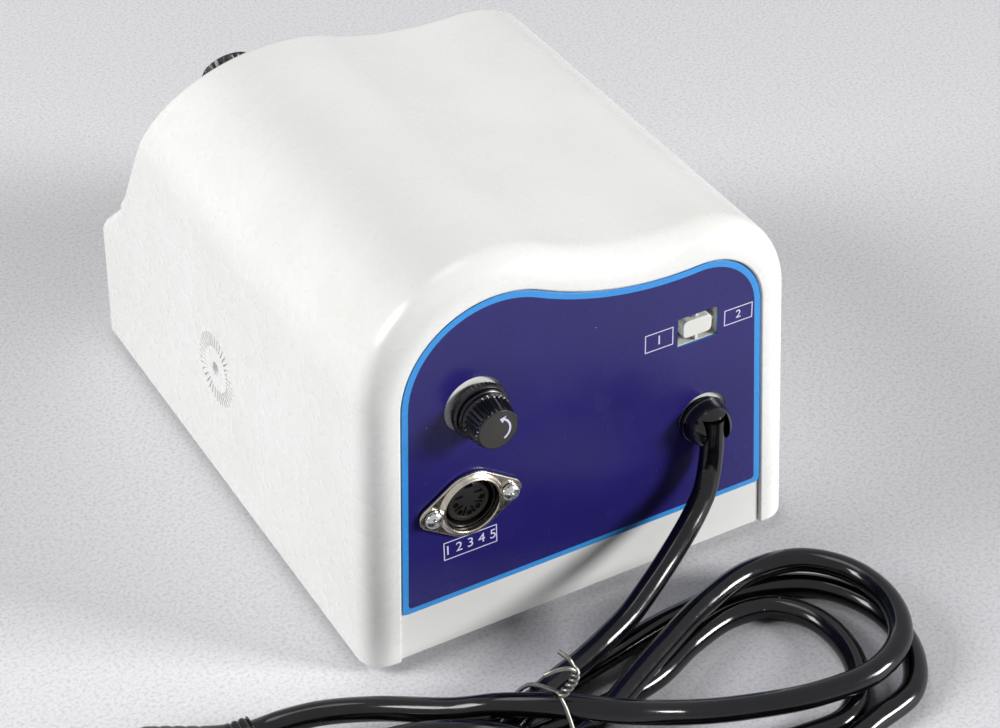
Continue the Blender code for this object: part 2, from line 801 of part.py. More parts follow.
def corner_places():
    """Where the feet, their screws and the casing's bosses stand."""
    x = CASE_HALF_WIDTH - FOOT_INSET_X
    return {
        "front_left": (-x, TOE_Y + FOOT_INSET_FRONT),
        "front_right": (x, TOE_Y + FOOT_INSET_FRONT),
        "rear_left": (-x, -FOOT_INSET_REAR),
        "rear_right": (x, -FOOT_INSET_REAR),
    }


def build_casing(case, look):
    shell = piece("casing_shell", casing_mesh(), look, case)
    low = BASE_THICKNESS + GAP
    for name, (x, y) in corner_places().items():
        side = math.copysign(1.0, x)
        outer = side_x(low + BOSS_HEIGHT / 2, CASE_WALL / 2)
        inner = abs(x) - BOSS_RADIUS
        web = block(outer - inner, 2 * BOSS_RADIUS, low, low + BOSS_HEIGHT,
                    (side * (outer + inner) / 2, y))
        join(shell, cutter(f"boss_{name}", web, case))
        bore = rod(BOSS_BORE, low - OVERRUN, low + BOSS_BORE_DEPTH, SIDES_SMALL, None, (x, y))
        cut(shell, cutter(f"boss_bore_{name}", bore, case))
    for name, side in (("right", 1), ("left", -1)):
        cut(shell, vent_cutter(f"vent_{name}", case, side))
    return shell


VENT_SLOTS = 36


def vent_cutter(name, case, side):
    """A round hole in a ring of fine radial slots, through one side wall."""
    mesh = bmesh.new()
    depth = CASE_WALL + OVERRUN
    rod(VENT_HOLE_RADIUS, -depth, depth, SIDES_SMALL, mesh)
    for i in range(VENT_SLOTS):
        angle = 2 * math.pi * i / VENT_SLOTS
        c, s = math.cos(angle), math.sin(angle)
        corners = [
            (VENT_INNER_RADIUS, -VENT_SLOT / 2),
            (VENT_RADIUS, -VENT_SLOT / 2),
            (VENT_RADIUS, VENT_SLOT / 2),
            (VENT_INNER_RADIUS, VENT_SLOT / 2),
        ]
        prism([(c * x - s * y, s * x + c * y) for x, y in corners], -depth, depth, mesh)
    place = (side * side_x(VENT_HEIGHT, CASE_WALL / 2), -VENT_SETBACK, VENT_HEIGHT)
    return cutter(name, mesh, case, place, (0, side * math.pi / 2, 0))


def rear_outline(inset, bottom, corner=0.0):
    """The rear plate's outline in the rear frame, whose x runs toward -X."""
    points = [(-p.x, p.y) for p in top_profile(inset)]
    right, left = side_x(bottom, inset), side_x(bottom, inset)
    if not corner:
        return points + [(left, bottom), (-right, bottom)]
    for way in (1, -1):
        x = side_x(bottom + corner, inset) - corner
        steps = [(math.cos(a * math.pi / 8), math.sin(a * math.pi / 8)) for a in range(5)]
        bend = [(way * (x + corner * c), bottom + corner * (1 - s)) for c, s in steps]
        points += bend if way > 0 else bend[::-1]
    return points


def build_rear(case, looks):
    """Rear plate, its overlay and everything that is mounted on them."""
    rear = frame("rear_frame", case, (0, LABEL_Y, 0), (-1, 0, 0), (0, 0, 1))
    face = PANEL_Y - LABEL_Y
    panel = piece(
        "rear_panel",
        prism(rear_outline(RIM_WIDTH + FIT, 0.0), face, face + PANEL_THICKNESS),
        looks["white"],
        rear,
    )
    label = piece(
        "rear_label",
        prism(rear_outline(RIM_WIDTH + FIT, LABEL_BOTTOM, LABEL_CORNER), -LABEL_THICKNESS, 0.0),
        looks["violet"],
        rear,
    )
    build_din_socket(rear, panel, label, looks)
    build_fuse(rear, panel, label, looks)
    build_selector(rear, panel, label, looks)
    build_gland(rear, panel, label, looks)
    return rear


def through(name, frame_empty, radius, x, z, sides=SIDES):
    """A round cutter square to the rear plate."""
    depth = PANEL_THICKNESS + LABEL_THICKNESS + OVERRUN
    return cutter(name, rod(radius, -depth, OVERRUN, sides), frame_empty, (-x, z, 0))


def capsule_outline(radius, ear, pitch, steps=6):
    """The flange: a round middle drawn out to a small ear on each side."""
    lean = math.asin((radius - ear) / pitch)
    points = []
    for centre, size, start, end in (
        (pitch, ear, -math.pi / 2 + lean, math.pi / 2 - lean),
        (0.0, radius, math.pi / 2 - lean, math.pi / 2 + lean),
        (-pitch, ear, math.pi / 2 + lean, 3 * math.pi / 2 - lean),
        (0.0, radius, 3 * math.pi / 2 - lean, 3 * math.pi / 2 + lean),
    ):
        points += [tuple(p) for p in arc(Vector((centre, 0)), size, start, end, steps)]
    return points


def build_din_socket(rear, panel, label, looks):
    place = (-DIN_X, DIN_Z, 0)
    seat = GAP
    flange = piece(
        "pedal_socket_flange",
        prism(capsule_outline(DIN_FLANGE_RADIUS, DIN_EAR_RADIUS, DIN_PITCH), seat, seat + DIN_FLANGE),
        looks["nickel"],
        rear,
        place,
    )
    middle = (DIN_BORE + DIN_TUBE) / 2
    cut(flange, cutter("pedal_socket_clear", rod(middle, -OVERRUN, DIN_COLLAR_HEIGHT), rear, place))
    top = seat + DIN_COLLAR_HEIGHT
    collar = turned(
        [
            (DIN_BORE, -DIN_DEPTH),
            (DIN_TUBE, -DIN_DEPTH),
            (DIN_TUBE, seat + DIN_FLANGE / 2),
            (DIN_COLLAR, seat + DIN_FLANGE / 2),
            (DIN_COLLAR, seat + DIN_FLANGE),
            (DIN_TUBE, top),
            (DIN_BORE, top - DIN_FLANGE / 2),
        ],
        SIDES_LARGE,
    )
    join(flange, cutter("pedal_socket_collar", collar, rear, place))
    cut(panel, through("pedal_socket_hole", rear, DIN_TUBE + FIT, DIN_X, DIN_Z))
    cut(label, through("pedal_socket_label_hole", rear, DIN_TUBE + 2 * FIT, DIN_X, DIN_Z))

    outer = DIN_BORE - FIT
    insert = piece(
        "pedal_socket_insert",
        turned(
            [
                (0, -DIN_DEPTH),
                (outer, -DIN_DEPTH),
                (outer, seat),
                (outer - DIN_INSERT_WALL, seat),
                (outer - DIN_INSERT_WALL, -DIN_GROOVE_DEPTH),
                (DIN_CORE, -DIN_GROOVE_DEPTH),
                (DIN_CORE, 0.0),
                (0, 0.0),
            ],
            SIDES_LARGE,
        ),
        looks["black"],
        rear,
        place,
    )
    contacts = bmesh.new()
    for i in range(DIN_CONTACTS):
        angle = math.pi + i * math.pi / (DIN_CONTACTS - 1)
        spot = (DIN_CONTACT_RING * math.cos(angle), DIN_CONTACT_RING * math.sin(angle))
        rod(DIN_CONTACT_RADIUS, -DIN_CONTACT_DEPTH, OVERRUN, SIDES_SMALL, contacts, spot)
    cut(insert, cutter("pedal_socket_contacts", contacts, rear, place))
    key = block(DIN_KEY_WIDTH, DIN_KEY_DEPTH, -DIN_CONTACT_DEPTH, OVERRUN,
                (0, DIN_CORE - DIN_KEY_DEPTH / 4))
    cut(insert, cutter("pedal_socket_key", key, rear, place))

    for name, way in (("left", 1), ("right", -1)):
        x = DIN_X + way * DIN_PITCH
        cut(flange, through(f"pedal_screw_flange_hole_{name}", rear, DIN_SCREW_HOLE, x, DIN_Z))
        cut(panel, through(f"pedal_screw_hole_{name}", rear, DIN_SCREW_HOLE, x, DIN_Z))
        cut(label, through(f"pedal_screw_label_hole_{name}", rear, DIN_SCREW_HOLE, x, DIN_Z))
        head = seat + DIN_FLANGE + GAP
        screw = piece(
            f"pedal_socket_screw_{name}",
            pan_screw(DIN_SCREW_RADIUS, DIN_SCREW_HEAD, DIN_SCREW_HEAD_HEIGHT,
                      DIN_SCREW_LENGTH + head),
            looks["zinc"],
            rear,
            (-x, DIN_Z, head),
        )
        cut(screw, cross_slot(f"pedal_screw_cross_{name}", rear, (-x, DIN_Z, head),
                              DIN_SCREW_HEAD_HEIGHT))
        nut_top = PANEL_Y - LABEL_Y - GAP
        nut = rod(DIN_NUT_RADIUS, nut_top - DIN_NUT_HEIGHT, nut_top, HEX)
        made = piece(f"pedal_socket_nut_{name}", nut, looks["zinc"], rear, (-x, DIN_Z, 0),
                     (0, 0, math.pi / HEX))
        bore = rod(DIN_SCREW_HOLE, nut_top - DIN_NUT_HEIGHT - OVERRUN, nut_top + OVERRUN,
                   SIDES_SMALL)
        cut(made, cutter(f"pedal_nut_bore_{name}", bore, rear, (-x, DIN_Z, 0)))


def build_fuse(rear, panel, label, looks):
    place = (-FUSE_X, FUSE_Z, 0)
    cut(panel, through("fuse_hole", rear, FUSE_BARREL + FIT, FUSE_X, FUSE_Z))
    cut(label, through("fuse_label_hole", rear, FUSE_LABEL_HOLE,
                       FUSE_X + FUSE_LABEL_SHIFT_X, FUSE_Z + FUSE_LABEL_SHIFT_Z, SIDES_LARGE))
    seat, top = GAP, GAP + FUSE_FLANGE
    edge = FUSE_FLANGE / 4
    piece(
        "fuse_holder_body",
        turned(
            [
                (0, -FUSE_BARREL_LENGTH),
                (FUSE_BARREL, -FUSE_BARREL_LENGTH),
                (FUSE_BARREL, seat),
                (FUSE_FLANGE_RADIUS, seat),
                (FUSE_FLANGE_RADIUS, top - edge),
                (FUSE_FLANGE_RADIUS - edge, top),
                (FUSE_BORE, top),
                (FUSE_BORE, -FUSE_BORE_LENGTH),
                (0, -FUSE_BORE_LENGTH),
            ],
            SIDES_LARGE,
        ),
        looks["black"],
        rear,
        place,
    )
    nut_top = PANEL_Y - LABEL_Y - GAP
    nut = piece(
        "fuse_holder_nut",
        rod(FUSE_NUT_RADIUS, nut_top - FUSE_NUT_HEIGHT, nut_top, HEX),
        looks["black"],
        rear,
        place,
    )
    bore = rod(FUSE_BARREL + FIT, nut_top - FUSE_NUT_HEIGHT - OVERRUN, nut_top + OVERRUN)
    cut(nut, cutter("fuse_nut_bore", bore, rear, place))
    low, high = top + GAP, FUSE_PROUD - LABEL_Y
    cap = piece(
        "fuse_cap",
        knurled(
            [
                (FUSE_CAP_RADIUS, low, 0),
                (FUSE_CAP_RADIUS, low + FUSE_CAP_RIM, 0),
                (FUSE_CAP_RADIUS - FUSE_KNURL_DEPTH / 2, low + FUSE_CAP_RIM + GAP, 1),
                (FUSE_CAP_TIP, high - FUSE_CAP_CHAMFER, 1),
                (FUSE_CAP_FACE, high, 0),
            ],
            FUSE_KNURLS,
            FUSE_KNURL_DEPTH,
        ),
        looks["black"],
        rear,
        place,
    )
    stem = turned(
        [
            (FUSE_STEM_BORE, top - FUSE_STEM_LENGTH),
            (FUSE_STEM, top - FUSE_STEM_LENGTH),
            (FUSE_STEM, low + FUSE_CAP_RIM / 2),
            (0, low + FUSE_CAP_RIM / 2),
            (0, low - FUSE_CAP_RIM / 2),
            (FUSE_STEM_BORE, low - FUSE_CAP_RIM / 2),
        ][:3]
        + [(FUSE_STEM_BORE, low + FUSE_CAP_RIM / 2)],
        SIDES,
    )
    join(cap, cutter("fuse_cap_stem", stem, rear, place))
    tube_top = low - GAP
    foot = tube_top - FUSE_TUBE_LENGTH
    piece(
        "fuse_link",
        turned(
            [
                (0, foot),
                (FUSE_TUBE_RADIUS, foot),
                (FUSE_TUBE_RADIUS, foot + FUSE_TUBE_CAP),
                (FUSE_TUBE_GLASS, foot + FUSE_TUBE_CAP),
                (FUSE_TUBE_GLASS, tube_top - FUSE_TUBE_CAP),
                (FUSE_TUBE_RADIUS, tube_top - FUSE_TUBE_CAP),
                (FUSE_TUBE_RADIUS, tube_top),
                (0, tube_top),
            ],
            SIDES_SMALL,
        ),
        looks["nickel"],
        rear,
        place,
    )


def build_selector(rear, panel, label, looks):
    place = (-SELECTOR_X, SELECTOR_Z, 0)
    face = -PANEL_RECESS - LABEL_Y
    back = face - SELECTOR_POCKET
    bar_room = SLIDER_WIDTH + 2 * SLIDER_TRAVEL + 2 * (SELECTOR_WIDTH - SLIDER_WIDTH) / 2
    neck = (bar_room + 2 * SELECTOR_RIM, SELECTOR_HEIGHT + 2 * SELECTOR_RIM)
    depth = PANEL_THICKNESS + LABEL_THICKNESS + OVERRUN
    hole = block(neck[0] + 2 * FIT, neck[1] + 2 * FIT, -depth - OVERRUN, OVERRUN)
    cut(panel, cutter("selector_hole", hole, rear, place))
    window = block(SELECTOR_WIDTH, SELECTOR_HEIGHT, -depth, OVERRUN)
    cut(label, cutter("selector_label_hole", window, rear, place))
    housing = piece(
        "selector_housing",
        block(neck[0], neck[1], face - SELECTOR_BODY_DEPTH, face),
        looks["ivory"],
        rear,
        place,
    )
    behind = PANEL_Y - LABEL_Y - GAP
    body = block(neck[0] + 2 * SELECTOR_BODY_RIM, neck[1] + 2 * SELECTOR_BODY_RIM,
                 face - SELECTOR_BODY_DEPTH + OVERRUN, behind)
    join(housing, cutter("selector_body", body, rear, place))
    half_w, half_h = SELECTOR_WIDTH / 2, SELECTOR_HEIGHT / 2
    rib, reach = SELECTOR_RIB / 2, SLIDER_HEIGHT / 2 + FIT
    outline = [
        (half_w, half_h), (rib, half_h), (rib, reach), (-rib, reach), (-rib, half_h),
        (-half_w, half_h), (-half_w, -half_h), (-rib, -half_h), (-rib, -reach),
        (rib, -reach), (rib, -half_h), (half_w, -half_h),
    ]
    cut(housing, cutter("selector_pocket", prism(outline, back, face + OVERRUN), rear, place))
    bar_low, bar_high = back + FIT, back + FIT + SLIDER_BAR_DEPTH
    room = block(bar_room + 2 * FIT, SLIDER_BAR_HEIGHT + 2 * FIT, back - FIT, bar_high + FIT)
    cut(housing, cutter("selector_bar_room", room, rear, place))
    slider = piece(
        "selector_slider",
        prism(rounded(SLIDER_WIDTH, SLIDER_HEIGHT, SLIDER_CORNER), bar_low, -SLIDER_FACE),
        looks["ivory"],
        rear,
        place,
    )
    bar = block(bar_room - 2 * SLIDER_TRAVEL, SLIDER_BAR_HEIGHT, bar_low + FIT / 2, bar_high)
    join(slider, cutter("slider_bar", bar, rear, place))


def build_gland(rear, panel, label, looks):
    place = (-GLAND_X, GLAND_Z, 0)
    cut(panel, through("gland_hole", rear, GLAND_STEM + FIT, GLAND_X, GLAND_Z))
    cut(label, through("gland_label_hole", rear, GLAND_LABEL_HOLE,
                       GLAND_X + GLAND_LABEL_SHIFT_X, GLAND_Z + GLAND_LABEL_SHIFT_Z, SIDES_LARGE))
    seat, top = GAP, GAP + GLAND_FLANGE
    steps = 6
    dome = []
    for i in range(steps + 1):
        angle = i * math.pi / 2 / steps
        dome.append((GLAND_DOME_RADIUS * math.cos(angle), top + GLAND_DOME_HEIGHT * math.sin(angle)))
    dome[-1] = (0, top + GLAND_DOME_HEIGHT)
    gland = piece(
        "cord_gland",
        turned(
            [
                (0, -GLAND_STEM_LENGTH),
                (GLAND_STEM, -GLAND_STEM_LENGTH),
                (GLAND_STEM, seat),
                (GLAND_FLANGE_RADIUS, seat),
                (GLAND_FLANGE_RADIUS, top),
            ]
            + dome,
            SIDES,
        ),
        looks["black"],
        rear,
        place,
    )
    width = CORD_DIAMETER + 4 * FIT
    low = -GLAND_FLANGE_RADIUS - OVERRUN
    channel = block(width, GLAND_LIP - low, top, top + GLAND_DOME_HEIGHT + OVERRUN,
                    (0, (GLAND_LIP + low) / 2))
    cut(gland, cutter("gland_channel", channel, rear, place))


def build_base(case, looks):
    half = side_x(BASE_THICKNESS, CASE_WALL + FIT)
    rear = PANEL_Y - FIT
    front = TOE_Y + CASE_WALL + FIT
    outline = rounded(2 * half, rear - front, BASE_CORNER, 4, (0, (rear + front) / 2))
    base = piece("base_plate", prism(outline, 0.0, BASE_THICKNESS), looks["steel"], case)
    holes = bmesh.new()
    for x, y in corner_places().values():
        rod(FOOT_BORE, -OVERRUN, BASE_THICKNESS + OVERRUN, SIDES_SMALL, holes, (x, y))
    for y in strap_screw_places():
        rod(PAN_SCREW_HOLE, -OVERRUN, BASE_THICKNESS + OVERRUN, SIDES_SMALL, holes, (CORE_X, y))
    cut(base, cutter("base_holes", holes, case))
    for name, (x, y) in corner_places().items():
        low = -FOOT_HEIGHT
        piece(
            f"foot_{name}",
            turned(
                [
                    (FOOT_BORE, low + FOOT_RECESS),
                    (BASE_SCREW_HEAD + FIT, low + FOOT_RECESS),
                    (BASE_SCREW_HEAD + FIT, low),
                    (FOOT_RADIUS - FOOT_TAPER, low),
                    (FOOT_RADIUS, -GAP),
                    (FOOT_BORE, -GAP),
                ],
                SIDES,
            ),
            looks["rubber"],
            case,
            (x, y, 0),
        )
        piece(
            f"base_screw_{name}",
            pan_screw(BASE_SCREW_RADIUS, BASE_SCREW_HEAD, BASE_SCREW_HEAD_HEIGHT,
                      BASE_SCREW_LENGTH, SIDES_SMALL),
            looks["zinc"],
            case,
            (x, y, low + FOOT_RECESS - GAP),
            (math.pi, 0, 0),
        )


def strap_screw_places():
    reach = CORE_LENGTH / 2 + STRAP_THICKNESS + GAP + STRAP_EAR - STRAP_SCREW_INSET
    return (-CORE_SETBACK - reach, -CORE_SETBACK + reach)


def build_transformer(case, looks):
    """Core and coil: the laminations' plane is YZ and the stack runs along X."""
    floor = BASE_THICKNESS + GAP
    side = frame("core_frame", case, (CORE_X, -CORE_SETBACK, floor), (0, 1, 0), (0, 0, 1))
    core = piece(
        "transformer_core",
        prism(rectangle(CORE_LENGTH, CORE_HEIGHT, (0, CORE_HEIGHT / 2)),
              -CORE_STACK / 2, CORE_STACK / 2),
        looks["lamination"],
        side,
    )
    window_height = CORE_HEIGHT - 2 * CORE_LEG
    window_width = (CORE_LENGTH - 4 * CORE_LEG) / 2
    offset = CORE_LEG + window_width / 2
    windows = bmesh.new()
    for way in (1, -1):
        block(window_width, window_height, -CORE_STACK, CORE_STACK,
              (way * offset, CORE_HEIGHT / 2), windows)
    cut(core, cutter("core_windows", windows, side))
    coil_height = window_height - 2 * FIT
    upright = frame("coil_frame", case, (CORE_X, -CORE_SETBACK, floor + CORE_HEIGHT / 2),
                    (1, 0, 0), (0, 1, 0))
    outer = (CORE_STACK + 2 * WINDING_BULGE, 2 * (CORE_LEG + window_width - FIT))
    inner = (CORE_STACK + 2 * FIT, 2 * (CORE_LEG + FIT))
    coil = piece(
        "transformer_winding",
        prism(rounded(outer[0], outer[1], WINDING_BULGE / 2), -coil_height / 2, coil_height / 2),
        looks["tape"],
        upright,
    )
    cut(coil, cutter("coil_bore", block(*inner, -coil_height, coil_height), upright))
    reach = CORE_LENGTH / 2 + GAP
    high, thick = CORE_HEIGHT + GAP, STRAP_THICKNESS
    outline = [
        (reach + thick + STRAP_EAR, 0.0), (reach + thick + STRAP_EAR, thick),
        (reach + thick, thick), (reach + thick, high + thick),
        (-reach - thick, high + thick), (-reach - thick, thick),
        (-reach - thick - STRAP_EAR, thick), (-reach - thick - STRAP_EAR, 0.0),
        (-reach, 0.0), (-reach, high), (reach, high), (reach, 0.0),
    ]
    strap = piece(
        "transformer_strap",
        prism(outline, -STRAP_WIDTH / 2, STRAP_WIDTH / 2),
        looks["zinc"],
        side,
    )
    for name, y in zip(("front", "rear"), strap_screw_places()):
        hole = rod(PAN_SCREW_HOLE, -OVERRUN, STRAP_THICKNESS + OVERRUN, SIDES_SMALL)
        cut(strap, cutter(f"strap_hole_{name}", hole, case, (CORE_X, y, floor)))
        piece(
            f"strap_screw_{name}",
            pan_screw(PAN_SCREW_RADIUS, PAN_SCREW_HEAD, PAN_SCREW_HEAD_HEIGHT, PAN_SCREW_LENGTH),
            looks["zinc"],
            case,
            (CORE_X, y, floor + STRAP_THICKNESS + GAP),
        )


def build_board(case, looks):
    floor = BASE_THICKNESS + GAP
    low = floor + PILLAR_HEIGHT + GAP
    top = low + BOARD_THICKNESS
    y = -BOARD_SETBACK
    board = piece(
        "circuit_board",
        block(BOARD_WIDTH, BOARD_LENGTH, low, top, (BOARD_X, y)),
        looks["board"],
        case,
    )
    reach_x, reach_y = BOARD_WIDTH / 2 - BOARD_EDGE, BOARD_LENGTH / 2 - BOARD_EDGE
    holes = bmesh.new()
    for name, sx, sy in (
        ("front_left", -1, -1), ("front_right", 1, -1), ("rear_left", -1, 1), ("rear_right", 1, 1)
    ):
        spot = (BOARD_X + sx * reach_x, y + sy * reach_y)
        rod(PILLAR_PEG + FIT, low - OVERRUN, top + OVERRUN, SIDES_SMALL, holes, spot)
        piece(
            f"board_pillar_{name}",
            turned(
                [
                    (0, floor), (PILLAR_RADIUS, floor), (PILLAR_RADIUS, low - GAP),
                    (PILLAR_PEG, low - GAP), (PILLAR_PEG, top + OVERRUN), (0, top + OVERRUN),
                ],
                SIDES_SMALL,
            ),
            looks["nylon"],
            case,
            (*spot, 0),
        )
    cut(board, cutter("board_holes", holes, case))
    seat = top + GAP
    edge = CAPACITOR_EDGE
    piece(
        "filter_capacitor",
        turned(
            [
                (0, seat), (CAPACITOR_RADIUS, seat), (CAPACITOR_RADIUS, seat + CAPACITOR_HEIGHT - edge),
                (CAPACITOR_RADIUS - edge, seat + CAPACITOR_HEIGHT), (0, seat + CAPACITOR_HEIGHT),
            ],
            SIDES,
        ),
        looks["sleeve"],
        case,
        (BOARD_X - CAPACITOR_SIDE, y + CAPACITOR_BACK, 0),
    )
    fin_pitch = (SINK_WIDTH - SINK_FIN) / (SINK_FINS - 1)
    back = SINK_DEPTH / 4
    outline = [(-SINK_WIDTH / 2, 0.0), (SINK_WIDTH / 2, 0.0)]
    for i in reversed(range(SINK_FINS)):
        left = -SINK_WIDTH / 2 + i * fin_pitch
        outline += [(left + SINK_FIN, SINK_DEPTH), (left, SINK_DEPTH)]
        if i:
            outline += [(left, back), (left - fin_pitch + SINK_FIN, back)]
    sink_y = y - SINK_BACK
    piece(
        "heat_sink",
        prism(outline, seat, seat + SINK_HEIGHT),
        looks["sink"],
        case,
        (BOARD_X, sink_y, 0),
    )
    piece(
        "power_transistor",
        block(TRANSISTOR_WIDTH, TRANSISTOR_DEPTH, seat, seat + TRANSISTOR_HEIGHT,
              (0, -TRANSISTOR_DEPTH / 2 - GAP)),
        looks["black"],
        case,
        (BOARD_X, sink_y, 0),
    )
    terminal = piece(
        "terminal_block",
        block(TERMINAL_WIDTH, TERMINAL_DEPTH, floor, floor + TERMINAL_HEIGHT),
        looks["nylon"],
        case,
        (GLAND_X, -TERMINAL_SETBACK, 0),
    )
    bores = bmesh.new()
    pitch = TERMINAL_WIDTH / TERMINAL_WAYS
    for i in range(TERMINAL_WAYS):
        spot = ((i - (TERMINAL_WAYS - 1) / 2) * pitch, 0)
        rod(TERMINAL_BORE, floor + TERMINAL_HEIGHT - TERMINAL_BORE_DEPTH,
            floor + TERMINAL_HEIGHT + OVERRUN, SIDES_SMALL, bores, spot)
    cut(terminal, cutter("terminal_bores", bores, case, (GLAND_X, -TERMINAL_SETBACK, 0)))


def build_rocker(name, parent, place, width, length, wall, shell_pieces, looks):
    """A rocker in its bezel: it rests tipped one way and swings about local X."""
    under = wall + GAP
    bezel_out = (width + 2 * BEZEL_WIDTH, length + 2 * BEZEL_WIDTH)
    body_out = (width + 2 * BEZEL_WALL, length + 2 * BEZEL_WALL)
    half = length / 2
    pocket = half * math.sin(2 * ROCKER_TILT) + ROCKER_PIVOT_DEPTH + FIT
    depth = max(BEZEL_BODY_DEPTH, pocket + BEZEL_WALL)
    bezel = piece(
        f"{name}_switch_body",
        block(*body_out, -depth, GAP + BEZEL_HEIGHT / 2),
        looks["black"],
        parent,
        place,
    )
    lip = block(*bezel_out, GAP, GAP + BEZEL_HEIGHT)
    join(bezel, cutter(f"{name}_lip", lip, parent, place))
    room = block(width, length, -pocket - ROCKER_RISE / 2, BEZEL_HEIGHT + OVERRUN)
    cut(bezel, cutter(f"{name}_pocket", room, parent, place))
    hole = block(body_out[0] + 2 * FIT, body_out[1] + 2 * FIT, -under - OVERRUN, OVERRUN)
    tool = cutter(f"{name}_opening", hole, parent, place)
    for shell in shell_pieces:
        cut(shell, tool)
    reach = half - FIT
    crest = ROCKER_RISE + BEZEL_HEIGHT
    top = [(0.0, crest)]
    end = reach * math.cos(ROCKER_TILT) * math.tan(ROCKER_TILT)
    for way in (1, -1):
        edge = [
            (way * reach * math.cos(a), reach * math.sin(a))
            for a in (
                math.asin(min((crest - end) / reach, 1.0)),
                0.0,
                -ROCKER_TILT,
            )
        ]
        top += edge if way > 0 else edge[::-1]
    outline = [top[0]] + top[1:4] + top[4:7]
    made = piece(
        f"{name}_rocker",
        rings_mesh(
            [
                [Vector((x, y, z)) for y, z in outline]
                for x in (-width / 2 + FIT, width / 2 - FIT)
            ]
        ),
        looks["rocker"],
        parent,
        (place[0], place[1], place[2] - ROCKER_PIVOT_DEPTH),
        (ROCKER_TILT, 0, 0),
    )
    return made


def build_front(case, shell, looks):
    """Overlay, dial, lamps and rockers on the fascia; rocker and socket on the toe."""
    up = (0, math.sin(FASCIA_LEAN), math.cos(FASCIA_LEAN))
    fascia = frame("fascia_frame", case, (0, FASCIA_Y, TOE_HEIGHT), (1, 0, 0), up)
    stretch = 1 / math.cos(FASCIA_LEAN)
    profile = [(p.x, (p.y - TOE_HEIGHT) * stretch) for p in top_profile(RIM_WIDTH)]
    bottom = TOE_HEIGHT + OVERLAY_RISE
    edge = side_x(bottom, RIM_WIDTH)
    outline = profile + [(-edge, OVERLAY_RISE * stretch), (edge, OVERLAY_RISE * stretch)]
    overlay = piece(
        "fascia_overlay",
        prism(outline, GAP, GAP + LABEL_THICKNESS),
        looks["violet"],
        fascia,
    )
    top = GAP + LABEL_THICKNESS + GAP
    dial_place = (HUMP.x, (HUMP.y - TOE_HEIGHT) * stretch, 0)
    neck_hole = rod(POT_NECK_RADIUS + FIT, -CASE_WALL - OVERRUN, top + OVERRUN)
    tool = cutter("dial_hole", neck_hole, fascia, dial_place)
    cut(shell, tool)
    cut(overlay, tool)
    back = -CASE_WALL - GAP
    bore = SHAFT_RADIUS + FIT
    piece(
        "speed_potentiometer",
        turned(
            [
                (0, back - POT_DEPTH), (POT_RADIUS, back - POT_DEPTH), (POT_RADIUS, back),
                (POT_NECK_RADIUS, back), (POT_NECK_RADIUS, top + POT_NECK_PROUD),
                (bore, top + POT_NECK_PROUD), (bore, back - POT_DEPTH / 2),
                (0, back - POT_DEPTH / 2),
            ],
            SIDES,
        ),
        looks["zinc"],
        fascia,
        dial_place,
    )
    nut = piece(
        "potentiometer_nut",
        rod(POT_NUT_RADIUS, top, top + POT_NUT_HEIGHT, HEX),
        looks["nickel"],
        fascia,
        dial_place,
    )
    nut_bore = rod(POT_NECK_RADIUS + FIT, top - OVERRUN, top + POT_NUT_HEIGHT + OVERRUN)
    cut(nut, cutter("potentiometer_nut_bore", nut_bore, fascia, dial_place))
    low = top + DIAL_CLEARANCE
    dial = piece(
        "speed_dial",
        knurled(
            [
                (DIAL_RADIUS, low, 0),
                (DIAL_RADIUS, low + DIAL_SKIRT - DIAL_EDGE, 0),
                (DIAL_RADIUS - DIAL_EDGE, low + DIAL_SKIRT, 0),
                (DIAL_GRIP + DIAL_TAPER, low + DIAL_SKIRT + DIAL_EDGE, 1),
                (DIAL_GRIP, DIAL_PROUD - DIAL_EDGE, 1),
                (DIAL_GRIP - DIAL_EDGE, DIAL_PROUD, 0),
            ],
            DIAL_KNURLS,
            DIAL_KNURL_DEPTH,
        ),
        looks["black"],
        fascia,
        dial_place,
    )
    pocket_top = top + POT_NECK_PROUD + DIAL_CLEARANCE
    pocket = turned(
        [
            (0, low - OVERRUN), (DIAL_POCKET_RADIUS, low - OVERRUN),
            (DIAL_POCKET_RADIUS, pocket_top), (bore, pocket_top),
            (bore, top + SHAFT_REACH + FIT), (0, top + SHAFT_REACH + FIT),
        ],
        SIDES,
    )
    cut(dial, cutter("dial_pocket", pocket, fascia, dial_place))
    piece(
        "dial_shaft",
        rod(SHAFT_RADIUS, back - POT_DEPTH / 2 + FIT, top + SHAFT_REACH, SIDES_SMALL * 2),
        looks["nickel"],
        fascia,
        dial_place,
    )
    wall = CASE_WALL + 2 * GAP + LABEL_THICKNESS
    for name, way in (("direction", -0.5), ("control", 0.5)):
        place = (ROCKER_X + way * ROCKER_SPACING, ROCKER_UP, top - GAP)
        build_rocker(name, fascia, place, ROCKER_WIDTH, ROCKER_LENGTH, wall, (shell, overlay), looks)
    lamp_hole = cutter(
        "lamp_hole",
        rod(LAMP_RADIUS + FIT, -CASE_WALL - OVERRUN, top + OVERRUN, SIDES_SMALL),
        fascia,
        (LAMP_X, LAMP_UP, 0),
    )
    cut(shell, lamp_hole)
    cut(overlay, lamp_hole)
    lamp = [(0, top - LAMP_STEM), (LAMP_RADIUS, top - LAMP_STEM), (LAMP_RADIUS, top),
            (LAMP_FLANGE, top), (LAMP_FLANGE, top + LAMP_FLANGE_HEIGHT)]
    steps = 3
    for i in range(steps):
        angle = i * math.pi / 2 / steps
        lamp.append((LAMP_RADIUS * math.cos(angle),
                     top + LAMP_FLANGE_HEIGHT + LAMP_RADIUS * math.sin(angle)))
    lamp.append((0, top + LAMP_FLANGE_HEIGHT + LAMP_RADIUS))
    piece("power_lamp", turned(lamp, SIDES_SMALL), looks["red"], fascia, (LAMP_X, LAMP_UP, 0))

